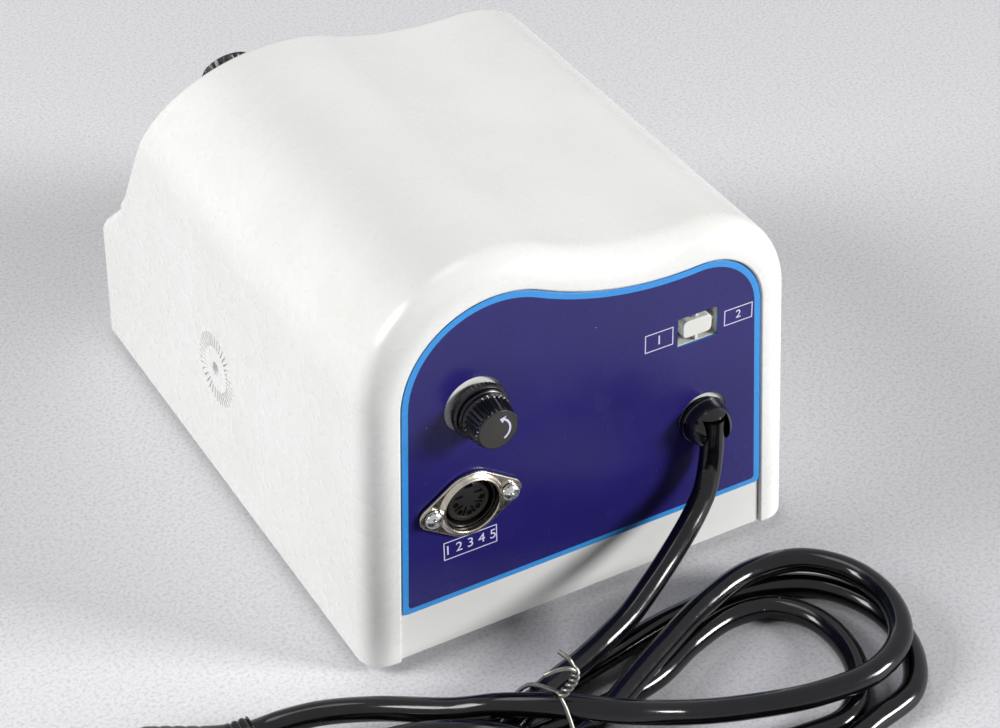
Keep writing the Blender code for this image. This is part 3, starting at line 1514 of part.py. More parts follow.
    toe = frame("toe_frame", case, (0, TOE_Y, 0), (1, 0, 0), (0, 0, 1))
    build_rocker("power", toe, (POWER_X, POWER_Z, 0), POWER_WIDTH, POWER_LENGTH,
                 CASE_WALL, (shell,), looks)
    place = (SOCKET_X, SOCKET_Z, 0)
    cut(shell, cutter("socket_hole", rod(SOCKET_RADIUS + FIT, -CASE_WALL - OVERRUN, OVERRUN),
                      toe, place))
    piece(
        "motor_socket",
        turned(
            [
                (0, -SOCKET_DEPTH), (SOCKET_RADIUS, -SOCKET_DEPTH), (SOCKET_RADIUS, GAP),
                (SOCKET_COLLAR, GAP), (SOCKET_COLLAR, GAP + SOCKET_COLLAR_HEIGHT),
                (SOCKET_RADIUS, GAP + SOCKET_COLLAR_HEIGHT), (SOCKET_RADIUS, SOCKET_PROUD),
                (SOCKET_BORE, SOCKET_PROUD), (SOCKET_BORE, SOCKET_PROUD - SOCKET_BORE_DEPTH),
                (0, SOCKET_PROUD - SOCKET_BORE_DEPTH),
            ],
            SIDES,
        ),
        looks["nickel"],
        toe,
        place,
    )
    nut_top = -CASE_WALL - GAP
    nut = piece("motor_socket_nut",
                rod(SOCKET_NUT_RADIUS, nut_top - SOCKET_NUT_HEIGHT, nut_top, HEX),
                looks["nickel"], toe, place)
    nut_bore = rod(SOCKET_RADIUS + FIT, nut_top - SOCKET_NUT_HEIGHT - OVERRUN, nut_top + OVERRUN)
    cut(nut, cutter("motor_socket_nut_bore", nut_bore, toe, place))


def half_loop(start, tip, half_width, pinch_share, bow, rise, climb, ends, count):
    """Points of one half of a hank's loop: from the waist round its far end.

    The half loop is a drop-shaped curve from start to tip. It is half_width on
    each side, pinch_share moves that width toward the tip, and bow bends both
    sides one way. The height goes from rise[0] to rise[1] while the curve's
    angle passes climb. ends are the angles left off at the two waist ends.
    """
    start, tip = Vector(start), Vector(tip)
    along = tip - start
    across = Vector((-along.y, along.x)).normalized()
    points = []
    for i in range(count):
        angle = ends[0] + (2 * math.pi - ends[1] - ends[0]) * i / (count - 1)
        out = math.sin(angle / 2) ** 2
        side = half_width * math.sin(angle) * (1 - pinch_share * math.cos(angle))
        side += bow * math.sin(angle) ** 2
        part = min(max((angle - climb[0]) / (climb[1] - climb[0]), 0.0), 1.0)
        height = rise[0] + (rise[1] - rise[0]) * part * part * (3 - 2 * part)
        spot = start + along * out + across * side
        points.append(Vector((spot.x, spot.y, height)))
    return points


def hank_points():
    """The hank's route, from the lead's end to the plug: three loops, each a
    seen half under the rear plate and a half past the waist."""
    def waist(slot):
        return [(WAIST_X, *slot)]

    route = waist(WAIST_LEAD) + [*LEAD_TO_FIRST] + half_loop(*FIRST_FAR)
    route += waist(WAIST_FIRST_OUT) + [*OUT_TO_FIRST] + half_loop(*FIRST_NEAR)
    route += [*FIRST_TO_SECOND] + waist(WAIST_SECOND_IN) + [*IN_TO_SECOND]
    route += half_loop(*SECOND_FAR)
    route += waist(WAIST_SECOND_OUT) + [*OUT_TO_SECOND] + half_loop(*SECOND_NEAR)
    route += [*SECOND_TO_THIRD] + waist(WAIST_THIRD_IN) + [*IN_TO_THIRD]
    route += half_loop(*THIRD_FAR) + [*THIRD_CLIMB]
    route += waist(WAIST_THIRD_OUT) + [*OUT_TO_THIRD] + half_loop(*THIRD_NEAR)
    return [Vector(p) for p in (*route, *THIRD_TO_END, WAIST_LAST, *END_ROUTE)]


def smooth_curve(points, steps):
    """A finely stepped smooth curve through the points (centripetal spline)."""
    ends = [2 * points[0] - points[1]] + points + [2 * points[-1] - points[-2]]
    fine = []
    for p0, p1, p2, p3 in zip(ends, ends[1:], ends[2:], ends[3:]):
        t1 = math.sqrt((p1 - p0).length)
        t2 = t1 + math.sqrt((p2 - p1).length)
        t3 = t2 + math.sqrt((p3 - p2).length)
        for i in range(steps):
            t = t1 + (t2 - t1) * i / steps
            a1 = p0.lerp(p1, t / t1)
            a2 = p1.lerp(p2, (t - t1) / (t2 - t1))
            a3 = p2.lerp(p3, (t - t2) / (t3 - t2))
            b1 = a1.lerp(a2, t / t2)
            b2 = a2.lerp(a3, (t - t1) / (t3 - t1))
            fine.append(b1.lerp(b2, (t - t1) / (t2 - t1)))
    return fine + [points[-1]]


def spaced(fine, step):
    """Points read from a fine curve: further apart where it is straight."""
    weights = [0.0]
    for i in range(1, len(fine)):
        length = (fine[i] - fine[i - 1]).length
        bend = 0.0
        if i > 1:
            bend = (fine[i] - fine[i - 1]).angle(fine[i - 1] - fine[i - 2], 0.0)
        weights.append(weights[-1] + length + BEND_WEIGHT * bend)
    count = max(round(weights[-1] / step), 2)
    points, at = [fine[0]], 1
    for i in range(1, count):
        goal = weights[-1] * i / count
        while weights[at] < goal:
            at += 1
        part = (goal - weights[at - 1]) / (weights[at] - weights[at - 1])
        points.append(fine[at - 1].lerp(fine[at], part))
    return points + [fine[-1]]


def length_of(points):
    return sum((b - a).length for a, b in zip(points, points[1:]))


def straight_ended(points, start_way, end_way):
    """The same points with straight ends, one cord diameter long."""
    made = list(points)
    for end, way in ((0, start_way), (-1, -end_way)):
        spot = made[end] + way.normalized() * CORD_DIAMETER
        after = 1 if end == 0 else -2
        if (made[after] - made[end]).length < 2 * CORD_DIAMETER:
            made[after] = spot
        else:
            made.insert(1 if end == 0 else len(made) - 1, spot)
    return made


def segment_gap(a, b, c, d):
    """Least distance between the straight stretches a-b and c-d."""
    one, other, between = b - a, d - c, a - c
    aa, bb, ab = one.dot(one), other.dot(other), one.dot(other)
    ar, br = one.dot(between), other.dot(between)
    den = aa * bb - ab * ab
    s = min(max((ab * br - ar * bb) / den, 0.0), 1.0) if den > aa * bb / 1e6 else 0.0
    t = (ab * s + br) / bb
    if t < 0.0 or t > 1.0:
        t = min(max(t, 0.0), 1.0)
        s = min(max((ab * t - ar) / aa, 0.0), 1.0)
    return (a + one * s - c - other * t).length


def least_gap(points, apart):
    """Least gap between stretches of one tube that are not neighbours."""
    best = math.inf
    for i in range(len(points) - 1):
        run = 0.0
        for j in range(i + 2, len(points) - 1):
            run += (points[j] - points[j - 1]).length
            if run > apart:
                best = min(best, segment_gap(*points[i : i + 2], *points[j : j + 2]))
    return best - CORD_DIAMETER


def tube(name, points, radius, look, parent, resolution=2, cyclic=False):
    """A curve of one poly spline with a round bevel and filled caps."""
    data = bpy.data.curves.new(name, "CURVE")
    data.dimensions = "3D"
    data.bevel_depth = radius
    data.bevel_resolution = resolution
    data.use_fill_caps = True
    spline = data.splines.new("POLY")
    spline.points.add(len(points) - 1)
    for spot, point in zip(spline.points, points):
        spot.co = (*point, 1.0)
    spline.use_cyclic_u = cyclic
    data.materials.append(look)
    made = bpy.data.objects.new(name, data)
    bpy.context.scene.collection.objects.link(made)
    made.parent = parent
    return made


def build_cord(table, looks):
    """Lead and hank on one smooth curve, parted where the hank begins."""
    lead_route = [Vector(p) for p in LEAD_ROUTE]
    hank_route = hank_points()
    whole = smooth_curve(lead_route + hank_route, ROUTE_STEPS)
    parting = len(lead_route) * ROUTE_STEPS
    lead, hank = whole[: parting + 1], whole[parting:]
    way = (whole[parting + 1] - whole[parting - 1]).normalized()
    lead_end = whole[parting] - way * CORD_GAP / 2
    hank_start = whole[parting] + way * CORD_GAP / 2
    lead_points = straight_ended(
        spaced(lead[:-1] + [lead_end], LEAD_STEP), lead[1] - lead[0], way
    )
    tube("mains_cord_lead", lead_points, CORD_DIAMETER / 2, looks["cord"], table)
    hank_made = straight_ended(
        spaced([hank_start] + hank[1:], HANK_STEP), way, hank[-1] - hank[-2]
    )
    tube("mains_cord_hank", hank_made, CORD_DIAMETER / 2, looks["cord"], table, 1)
    print(f"cord length {length_of(whole):.4f} m, hank points {len(hank_made)}, "
          f"lead points {len(lead_points)}, "
          f"least gap of the hank to itself {least_gap(hank_made, 4 * CORD_DIAMETER):.5f} m")


def build_plug(table, looks):
    end = Vector(END_ROUTE[-1])
    place = (end.x + CORD_GAP, end.y, end.z)
    stations = [(0.0, PLUG_NECK, PLUG_NECK), (PLUG_NECK_LENGTH, PLUG_NECK, PLUG_NECK)]
    steps = 4
    for i in range(1, steps + 1):
        share = i / steps
        ease = share * share * (3 - 2 * share)
        stations.append(
            (
                PLUG_NECK_LENGTH + PLUG_FLARE * share,
                PLUG_NECK + (PLUG_HALF_WIDTH - PLUG_NECK) * share,
                PLUG_NECK + (PLUG_HALF_HEIGHT - PLUG_NECK) * ease,
            )
        )
    stations.append((PLUG_LENGTH - PLUG_EDGE, PLUG_HALF_WIDTH, PLUG_HALF_HEIGHT))
    stations.append((PLUG_LENGTH, PLUG_HALF_WIDTH - PLUG_EDGE, PLUG_HALF_HEIGHT - PLUG_EDGE))
    rings = []
    count = 20
    for x, half_width, half_height in stations:
        ring = []
        for i in range(count):
            angle = 2 * math.pi * i / count
            c, s = math.cos(angle), math.sin(angle)
            ring.append(Vector((x, half_width * math.copysign(abs(c) ** 0.7, c),
                                half_height * math.copysign(abs(s) ** 0.7, s))))
        rings.append(ring)
    body = piece("plug_body", rings_mesh(rings), looks["cord"], table, place)
    for name, way in (("left", 1), ("right", -1)):
        spot = (place[0] + PLUG_LENGTH - PIN_ROOT, place[1] + way * PIN_SPREAD, place[2])
        turn = (0, math.pi / 2, 0)
        bore = rod(PIN_RADIUS + FIT, -FIT, PIN_ROOT + OVERRUN, SIDES_SMALL)
        cut(body, cutter(f"plug_bore_{name}", bore, table, spot, turn))
        tip = PIN_RADIUS / 2
        piece(
            f"plug_pin_{name}",
            turned(
                [
                    (0, 0), (PIN_RADIUS, 0), (PIN_RADIUS, PIN_ROOT + PIN_LENGTH - tip),
                    (PIN_RADIUS - tip, PIN_ROOT + PIN_LENGTH), (0, PIN_ROOT + PIN_LENGTH),
                ],
                SIDES_SMALL,
            ),
            looks["nickel"],
            table,
            spot,
            turn,
        )


def build_tie(table, looks):
    """A wire drawn round every strand at the waist, its ends twisted together."""
    slots = [WAIST_LEAD, WAIST_FIRST_OUT, WAIST_SECOND_IN, WAIST_THIRD_OUT, WAIST_LAST[1:]]
    reach = CORD_DIAMETER / 2 + TIE_WIRE_RADIUS + TIE_CLEARANCE
    low = TIE_WIRE_RADIUS + GAP
    loop = []
    for i in range(TIE_POINTS + 1):
        angle = math.pi / 2 + 2 * math.pi * i / TIE_POINTS
        way = Vector((math.cos(angle), math.sin(angle)))
        centre = max((Vector(slot) for slot in slots), key=lambda slot: slot.dot(way))
        spot = centre + way * reach
        loop.append(Vector((WAIST_X, spot.x, max(spot.y, low))))
    top = loop[0] + Vector((0, 0, TWIST_RADIUS))
    rise = []
    for i in range(TWIST_POINTS):
        up = TWIST_LENGTH * i / (TWIST_POINTS - 1)
        turn = 2 * math.pi * up / TWIST_PITCH
        rise.append((up, turn))

    def strand(phase):
        return [
            top + Vector((TWIST_RADIUS * math.sin(turn) * phase,
                          TWIST_RADIUS * math.cos(turn) * phase,
                          up + TWIST_RADIUS))
            for up, turn in rise
        ]

    inner = [p for p in loop[1:-1]]
    path = strand(-1)[::-1] + inner + strand(1)
    tube("cord_tie", path, TIE_WIRE_RADIUS, looks["tie"], table, 1)



def make_looks():
    return {
        "white": material("white_abs", (0.80, 0.81, 0.79), 0.28),
        "violet": material("violet_print", (0.035, 0.022, 0.165), 0.35),
        "black": material("black_plastic", (0.012, 0.012, 0.012), 0.35),
        "rocker": material("rocker_black", (0.020, 0.020, 0.021), 0.30),
        "ivory": material("ivory_plastic", (0.72, 0.72, 0.68), 0.40),
        "nickel": material("nickel_plate", (0.62, 0.58, 0.52), 0.18, 1.0),
        "zinc": material("bright_zinc", (0.70, 0.71, 0.70), 0.25, 1.0),
        "steel": material("painted_steel", (0.55, 0.56, 0.56), 0.45, 0.6),
        "rubber": material("black_rubber", (0.018, 0.018, 0.018), 0.75),
        "lamination": material("core_steel", (0.20, 0.19, 0.18), 0.55, 0.8),
        "tape": material("coil_tape", (0.62, 0.42, 0.06), 0.45),
        "board": material("board_green", (0.02, 0.16, 0.06), 0.45),
        "nylon": material("nylon_white", (0.75, 0.74, 0.68), 0.45),
        "sleeve": material("capacitor_sleeve", (0.02, 0.03, 0.12), 0.35),
        "sink": material("sink_aluminium", (0.55, 0.56, 0.58), 0.35, 1.0),
        "red": material("lamp_red", (0.55, 0.01, 0.01), 0.15),
        "cord": material("cord_pvc", (0.010, 0.010, 0.011), 0.20),
        "tie": material("tie_wire", (0.08, 0.08, 0.075), 0.40, 0.5),
    }


def main():
    for item in list(bpy.data.objects):
        bpy.data.objects.remove(item)
    looks = make_looks()
    case = frame("case_frame", None, (0, REAR_Y, FOOT_HEIGHT), (1, 0, 0), (0, 1, 0))
    shell = build_casing(case, looks["white"])
    build_rear(case, looks)
    build_base(case, looks)
    build_transformer(case, looks)
    build_board(case, looks)
    build_front(case, shell, looks)
    cord_shift = GLAND_X - LEAD_ROUTE[0][0]
    table = frame("table_frame", None, (cord_shift, REAR_Y + LABEL_Y, 0), (1, 0, 0), (0, 1, 0))
    build_cord(table, looks)
    build_plug(table, looks)
    build_tie(table, looks)
    bpy.context.view_layer.update()


main()
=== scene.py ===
"""Control box of a dental laboratory micromotor, seen from its rear.

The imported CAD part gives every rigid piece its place. The pieces that show
are built here again from the same sizes, with rounder edges and finer detail,
and each gets the finish of the real one: glossy moulded ABS, printed film,
plated metal, PVC cord. The camera and the cord come first.
"""

from __future__ import annotations

import logging
import math
from dataclasses import dataclass, field
from enum import Enum
from typing import Any, Sequence

import bmesh
import bpy
from mathutils import Matrix, Vector
from mathutils.geometry import convex_hull_2d


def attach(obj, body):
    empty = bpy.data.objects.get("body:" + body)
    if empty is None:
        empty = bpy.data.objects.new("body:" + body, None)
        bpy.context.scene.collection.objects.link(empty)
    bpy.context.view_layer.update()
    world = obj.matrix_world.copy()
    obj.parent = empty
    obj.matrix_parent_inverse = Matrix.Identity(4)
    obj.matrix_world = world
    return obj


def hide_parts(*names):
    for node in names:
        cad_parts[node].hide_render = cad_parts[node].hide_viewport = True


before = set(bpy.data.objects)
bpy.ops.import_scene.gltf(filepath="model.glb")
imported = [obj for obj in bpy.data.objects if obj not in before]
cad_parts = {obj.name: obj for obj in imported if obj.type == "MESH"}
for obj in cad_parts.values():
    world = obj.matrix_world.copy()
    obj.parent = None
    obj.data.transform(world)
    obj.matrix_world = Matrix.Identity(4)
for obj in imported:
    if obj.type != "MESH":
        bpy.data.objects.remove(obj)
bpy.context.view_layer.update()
LOG = logging.getLogger("control_box")

MM = 0.001
Pair = tuple[float, float]
Triple = tuple[float, float, float]

# Places that the sub-assemblies share, in metres in the part's own frame.
RIM_LINE = 0.08905
LABEL_LINE = 0.08875
FOOT_RISE = 0.003
FIT = 0.0003
LEAN = math.radians(30.1)


class Body(Enum):
    """The bodies of the part that its pieces ride on."""

    BOX = "control_box"
    DIAL = "speed_knob"
    DIRECTION = "direction_key"
    CONTROL = "control_key"
    POWER = "power_key"
    VOLTAGE = "voltage_slide"
    FUSE = "fuse_carrier"
    FUSE_CAP = "fuse_screw_cap"


class Slot(Enum):
    """Material slots of the part's record."""

    ABS = "white_abs"
    PRINT = "violet_print"
    BLACK = "black_plastic"
    ROCKER = "rocker_black"
    IVORY = "ivory_plastic"
    NICKEL = "nickel_plate"
    ZINC = "bright_zinc"
    RUBBER = "black_rubber"
    LENS = "lamp_red"
    CORD = "cord_pvc"
    TIE = "tie_wire"


def seat(origin: Triple, x_axis: Triple, y_axis: Triple) -> Matrix:
    """A matrix that sets a piece on a face.

    Args:
        origin: The face's zero point.
        x_axis: Which way the piece's X runs.
        y_axis: Which way its Y runs; Z comes out of the face.

    Returns:
        The matrix from the piece's own axes to the part's.
    """
    x, y = Vector(x_axis), Vector(y_axis)
    turn = Matrix((x, y, x.cross(y))).transposed().to_4x4()
    return Matrix.Translation(Vector(origin)) @ turn


REAR = seat((0, LABEL_LINE, FOOT_RISE), (-1, 0, 0), (0, 0, 1))
FASCIA = seat((0, -0.07165, 0.0575), (1, 0, 0), (0, math.sin(LEAN), math.cos(LEAN)))
TOE = seat((0, -0.09525, FOOT_RISE), (1, 0, 0), (0, 0, 1))
CASE = seat((0, RIM_LINE, FOOT_RISE), (1, 0, 0), (0, 1, 0))
TABLE = seat((0, LABEL_LINE, 0), (1, 0, 0), (0, 1, 0))


def linear(colour: str) -> tuple[float, float, float, float]:
    """Turns an sRGB hex colour to linear values.

    Args:
        colour: Six hex digits, such as "#f0f0ee".

    Returns:
        Red, green, blue and an alpha of one.
    """
    values = []
    for i in (1, 3, 5):
        share = int(colour[i : i + 2], 16) / 255
        values.append(share / 12.92 if share <= 0.04045 else ((share + 0.055) / 1.055) ** 2.4)
    return (values[0], values[1], values[2], 1.0)


def add_node(
    tree: bpy.types.NodeTree,
    kind: str,
    settings: dict[str | int, Any] | None = None,
    links: dict[str | int, bpy.types.NodeSocket] | None = None,
) -> bpy.types.Node:
    """Adds one node with its settings and links.

    Args:
        tree: The node tree.
        kind: The node's type.
        settings: Lower-case names are the node's own settings, others its inputs.
        links: The socket that each named or numbered input is fed from.

    Returns:
        The node.
    """
    node = tree.nodes.new(kind)
    for key, value in (settings or {}).items():
        if isinstance(key, str) and key.islower():
            setattr(node, key, value)
        else:
            node.inputs[key].default_value = value
    for key, source in (links or {}).items():
        tree.links.new(source, node.inputs[key])
    return node


@dataclass(frozen=True)
class Finish:
    """A material with its name, colour and gloss; each kind dresses its shader."""

    name: str
    colour: str
    roughness: float

    def material(self) -> bpy.types.Material:
        """The finish as a Blender material, made once.

        Returns:
            The material.
        """
        made = bpy.data.materials.get(self.name)
        if made is None:
            made = bpy.data.materials.new(self.name)
            made.use_nodes = True
            tree = made.node_tree
            shader = tree.nodes["Principled BSDF"]
            shader.inputs["Base Color"].default_value = linear(self.colour)
            shader.inputs["Roughness"].default_value = self.roughness
            place = add_node(tree, "ShaderNodeTexCoord").outputs["Object"]
            self.dress(tree, shader, place)
        return made

    def dress(
        self, tree: bpy.types.NodeTree, shader: bpy.types.Node, place: bpy.types.NodeSocket
    ) -> None:
        """Adds the surface's own detail; the plain finish has none."""

    def waves(
        self,
        tree: bpy.types.NodeTree,
        place: bpy.types.NodeSocket,
        grain_mm: float,
        stretch: Triple = (1.0, 1.0, 1.0),
        detail: float = 2.0,
    ) -> bpy.types.NodeSocket:
        """Soft noise whose blotches have a real size.

        Args:
            tree: The node tree.
            place: The coordinates.
            grain_mm: Size of a blotch in millimetres.
            stretch: How much finer it is along each axis.
            detail: How many finer layers lie on it.

        Returns:
            The noise's value, from 0 to 1.
        """
        scale = 1 / (grain_mm * MM)
        moved = add_node(
            tree, "ShaderNodeMapping", {"Scale": [scale * s for s in stretch]}, {"Vector": place}
        )
        noise = add_node(
            tree, "ShaderNodeTexNoise", {"Scale": 1.0, "Detail": detail}, {"Vector": moved.outputs[0]}
        )
        return noise.outputs[0]

    def relief(
        self,
        tree: bpy.types.NodeTree,
        shader: bpy.types.Node,
        height: bpy.types.NodeSocket,
        depth_mm: float,
    ) -> None:
        """Raises the surface by a value, over any relief it has.

        Args:
            tree: The node tree.
            shader: The finish's shader.
            height: What raises it, from 0 to 1.
            depth_mm: How high 1 stands, in millimetres.
        """
        normal = shader.inputs["Normal"]
        links = {"Height": height}
        if normal.links:
            links["Normal"] = normal.links[0].from_socket
        bump = add_node(tree, "ShaderNodeBump", {"Strength": 1.0, "Distance": depth_mm * MM}, links)
        tree.links.new(bump.outputs[0], normal)

    def gloss(
        self,
        tree: bpy.types.NodeTree,
        shader: bpy.types.Node,
        value: bpy.types.NodeSocket,
        spread: float,
    ) -> None:
        """Lets the roughness vary about the finish's own.

        Args:
            tree: The node tree.
            shader: The finish's shader.
            value: What drives it, noise about 0.5.
            spread: How far the roughness goes to each side.
        """
        settings = {
            "From Min": 0.3,
            "From Max": 0.7,
            "To Min": max(self.roughness - spread, 0.02),
            "To Max": self.roughness + spread,
        }
        node = add_node(tree, "ShaderNodeMapRange", settings, {"Value": value})
        tree.links.new(node.outputs[0], shader.inputs["Roughness"])

    def tint(
        self,
        tree: bpy.types.NodeTree,
        shader: bpy.types.Node,
        share: bpy.types.NodeSocket,
        colour: str,
    ) -> None:
        """Mixes another colour over what the surface has.

        Args:
            tree: The node tree.
            shader: The finish's shader.
            share: How much of the other colour shows.
            colour: The other colour.
        """
        base = shader.inputs["Base Color"]
        settings: dict[str | int, Any] = {
            "data_type": "RGBA",
            6: list(base.default_value),
            7: linear(colour),
        }
        links: dict[str | int, bpy.types.NodeSocket] = {0: share}
        if base.links:
            links[6] = base.links[0].from_socket
        mixed = add_node(tree, "ShaderNodeMix", settings, links)
        tree.links.new(mixed.outputs[2], base)

    def band(
        self,
        tree: bpy.types.NodeTree,
        value: bpy.types.NodeSocket,
        low: float,
        high: float,
        top: float = 1.0,
    ) -> bpy.types.NodeSocket:
        """Stretches a value so that it rises from 0 to top between two levels.

        Args:
            tree: The node tree.
            value: The value.
            low: Where it starts to rise.
            high: Where it is full.
            top: How high it goes.

        Returns:
            The stretched value.
        """
        settings = {"From Min": low, "From Max": high, "To Min": 0.0, "To Max": top}
        return add_node(tree, "ShaderNodeMapRange", settings, {"Value": value}).outputs[0]

    def flecks(
        self,
        tree: bpy.types.NodeTree,
        place: bpy.types.NodeSocket,
        spacing_mm: float,
        size_mm: float,
        rarity: float,
    ) -> bpy.types.NodeSocket:
        """Sparse round specks, such as dust.

        Args:
            tree: The node tree.
            place: The coordinates.
            spacing_mm: Distance between the places that may hold a speck.
            size_mm: A speck's width.
            rarity: From 0, each place holds one, towards 1, none does.

        Returns:
            1 on a speck and 0 elsewhere.
        """
        cells = add_node(
            tree, "ShaderNodeTexVoronoi", {"Scale": 1 / (spacing_mm * MM)}, {"Vector": place}
        )
        reach = size_mm / spacing_mm / 2
        spot = self.band(tree, cells.outputs["Distance"], reach, reach * 0.6)
        chosen = add_node(
            tree,
            "ShaderNodeMath",
            {"operation": "GREATER_THAN", 1: rarity},
            {0: cells.outputs["Color"]},
        )
        both = add_node(
            tree, "ShaderNodeMath", {"operation": "MULTIPLY"}, {0: spot, 1: chosen.outputs[0]}
        )
        return both.outputs[0]


@dataclass(frozen=True)
class MouldedPlastic(Finish):
    """Injection-moulded plastic: glossy, with a faint flow of the melt in it."""

    shade: str = "#808080"
    grain_mm: float = 1.2
    depth_mm: float = 0.004
    spread: float = 0.04
    dust: str = "#c8c6c0"
    dust_spacing_mm: float = 9.0
    dust_size_mm: float = 0.25
    dust_rarity: float = 0.62
    coat: float = 0.0

    def dress(
        self, tree: bpy.types.NodeTree, shader: bpy.types.Node, place: bpy.types.NodeSocket
    ) -> None:
        """Tone, gloss, mould grain and a little dust."""
        shader.inputs["IOR"].default_value = 1.53
        shader.inputs["Coat Weight"].default_value = self.coat
        shader.inputs["Coat Roughness"].default_value = 0.08
        tone = self.waves(tree, place, 28.0)
        self.tint(tree, shader, self.band(tree, tone, 0.35, 0.75, 0.8), self.shade)
        specks = self.flecks(
            tree, place, self.dust_spacing_mm, self.dust_size_mm, self.dust_rarity
        )
        self.tint(tree, shader, specks, self.dust)
        self.gloss(tree, shader, self.waves(tree, place, 6.0), self.spread)
        self.relief(tree, shader, self.waves(tree, place, self.grain_mm), self.depth_mm)


@dataclass(frozen=True)
class PrintedFilm(Finish):
    """Screen ink on polyester film: satin, with a fine print grain and dust."""

    shade: str = "#808080"

    def dress(
        self, tree: bpy.types.NodeTree, shader: bpy.types.Node, place: bpy.types.NodeSocket
    ) -> None:
        """Ink tone, print grain and dust."""
        shader.inputs["IOR"].default_value = 1.45
        self.tint(tree, shader, self.band(tree, self.waves(tree, place, 22.0), 0.3, 0.7), self.shade)
        grain = self.band(tree, self.waves(tree, place, 0.35, detail=1.0), 0.45, 0.75, 0.25)
        self.tint(tree, shader, grain, self.shade)
        self.tint(tree, shader, self.flecks(tree, place, 7.0, 0.30, 0.66), "#b9b4cc")
        self.gloss(tree, shader, self.waves(tree, place, 9.0), 0.05)
        self.relief(tree, shader, self.waves(tree, place, 0.5), 0.0012)


@dataclass(frozen=True)
class PlatedMetal(Finish):
    """Plated steel or brass: bright, with drawing marks, hazy spots and stains."""

    stain: str = "#6b655c"
    marks: Triple = (1.0, 9.0, 1.0)
    marks_mm: float = 1.6
    marks_depth_mm: float = 0.0025
    stains: float = 0.35

    def dress(
        self, tree: bpy.types.NodeTree, shader: bpy.types.Node, place: bpy.types.NodeSocket
    ) -> None:
        """Metal with stains, an uneven gloss and fine marks."""
        shader.inputs["Metallic"].default_value = 1.0
        stained = self.band(tree, self.waves(tree, place, 2.6, detail=4.0), 0.50, 0.72, self.stains)
        self.tint(tree, shader, stained, self.stain)
        self.gloss(tree, shader, self.waves(tree, place, 1.4, detail=4.0), 0.08)
        marks = self.waves(tree, place, self.marks_mm, self.marks)
        self.relief(tree, shader, marks, self.marks_depth_mm)
        self.relief(tree, shader, self.waves(tree, place, 3.5), 0.02)


@dataclass(frozen=True)
class PvcSheath(Finish):
    """Extruded PVC: wet-looking black with draw waves, smears and dust."""

    dust: str = "#a9a8a4"

    def dress(
        self, tree: bpy.types.NodeTree, shader: bpy.types.Node, place: bpy.types.NodeSocket
    ) -> None:
        """Smears in the gloss, soft waves in the skin and specks of dust."""
        shader.inputs["IOR"].default_value = 1.47
        self.tint(tree, shader, self.band(tree, self.waves(tree, place, 5.0), 0.45, 0.8, 0.4), "#17171a")
        self.tint(tree, shader, self.flecks(tree, place, 4.2, 0.36, 0.60), self.dust)
        self.gloss(tree, shader, self.waves(tree, place, 3.0, detail=4.0), 0.05)
        self.relief(tree, shader, self.waves(tree, place, 7.0), 0.03)
        self.relief(tree, shader, self.waves(tree, place, 0.9), 0.002)


@dataclass(frozen=True)
class SoftRubber(Finish):
    """Moulded rubber: matt, with a fine powdery bloom."""

    def dress(
        self, tree: bpy.types.NodeTree, shader: bpy.types.Node, place: bpy.types.NodeSocket
    ) -> None:
        """Bloom and grain."""
        self.tint(tree, shader, self.band(tree, self.waves(tree, place, 1.5, detail=5.0), 0.5, 0.8, 0.5), "#4a4948")
        self.relief(tree, shader, self.waves(tree, place, 0.4), 0.015)


@dataclass(frozen=True)
class PowderCoat(Finish):
    """Powder-coated steel: satin, with the orange peel that baking leaves."""

    def dress(
        self, tree: bpy.types.NodeTree, shader: bpy.types.Node, place: bpy.types.NodeSocket
    ) -> None:
        """Orange peel and a faint change of tone."""
        self.tint(tree, shader, self.band(tree, self.waves(tree, place, 14.0), 0.4, 0.7, 0.5), "#a9abab")
        self.gloss(tree, shader, self.waves(tree, place, 4.0), 0.06)
        self.relief(tree, shader, self.waves(tree, place, 1.1), 0.02)


@dataclass(frozen=True)
class Laminations(Finish):
    """Varnished transformer sheets on edge, half a millimetre thick each."""

    sheet_mm: float = 1.0

    def dress(
        self, tree: bpy.types.NodeTree, shader: bpy.types.Node, place: bpy.types.NodeSocket
    ) -> None:
        """Lines between the sheets, drawn a millimetre apart so that they show."""
        shader.inputs["Metallic"].default_value = 0.8
        lines = add_node(
            tree,
            "ShaderNodeTexWave",
            {"bands_direction": "X", "Scale": 0.05 / (self.sheet_mm * MM) * 2 * math.pi, "Distortion": 0.3},
            {"Vector": place},
        ).outputs[1]
        self.tint(tree, shader, self.band(tree, lines, 0.6, 0.95, 0.7), "#2c2a27")
        self.tint(tree, shader, self.band(tree, self.waves(tree, place, 6.0), 0.5, 0.8, 0.6), "#7a4a2a")
        self.relief(tree, shader, lines, 0.05)


@dataclass(frozen=True)
class CoilTape(Finish):
    """Yellow polyester tape over the coil, with its overlaps showing."""

    turn_mm: float = 9.0

    def dress(
        self, tree: bpy.types.NodeTree, shader: bpy.types.Node, place: bpy.types.NodeSocket
    ) -> None:
        """A darker line at each overlap and soft creases."""
        laps = add_node(
            tree,
            "ShaderNodeTexWave",
            {"bands_direction": "Z", "wave_profile": "SAW", "Scale": 0.05 / (self.turn_mm * MM) * 2 * math.pi},
            {"Vector": place},
        ).outputs[1]
        self.tint(tree, shader, self.band(tree, laps, 0.9, 1.0, 0.6), "#9a6a10")
        self.tint(tree, shader, self.band(tree, self.waves(tree, place, 4.0), 0.4, 0.8, 0.4), "#e6c455")
        self.relief(tree, shader, laps, 0.06)


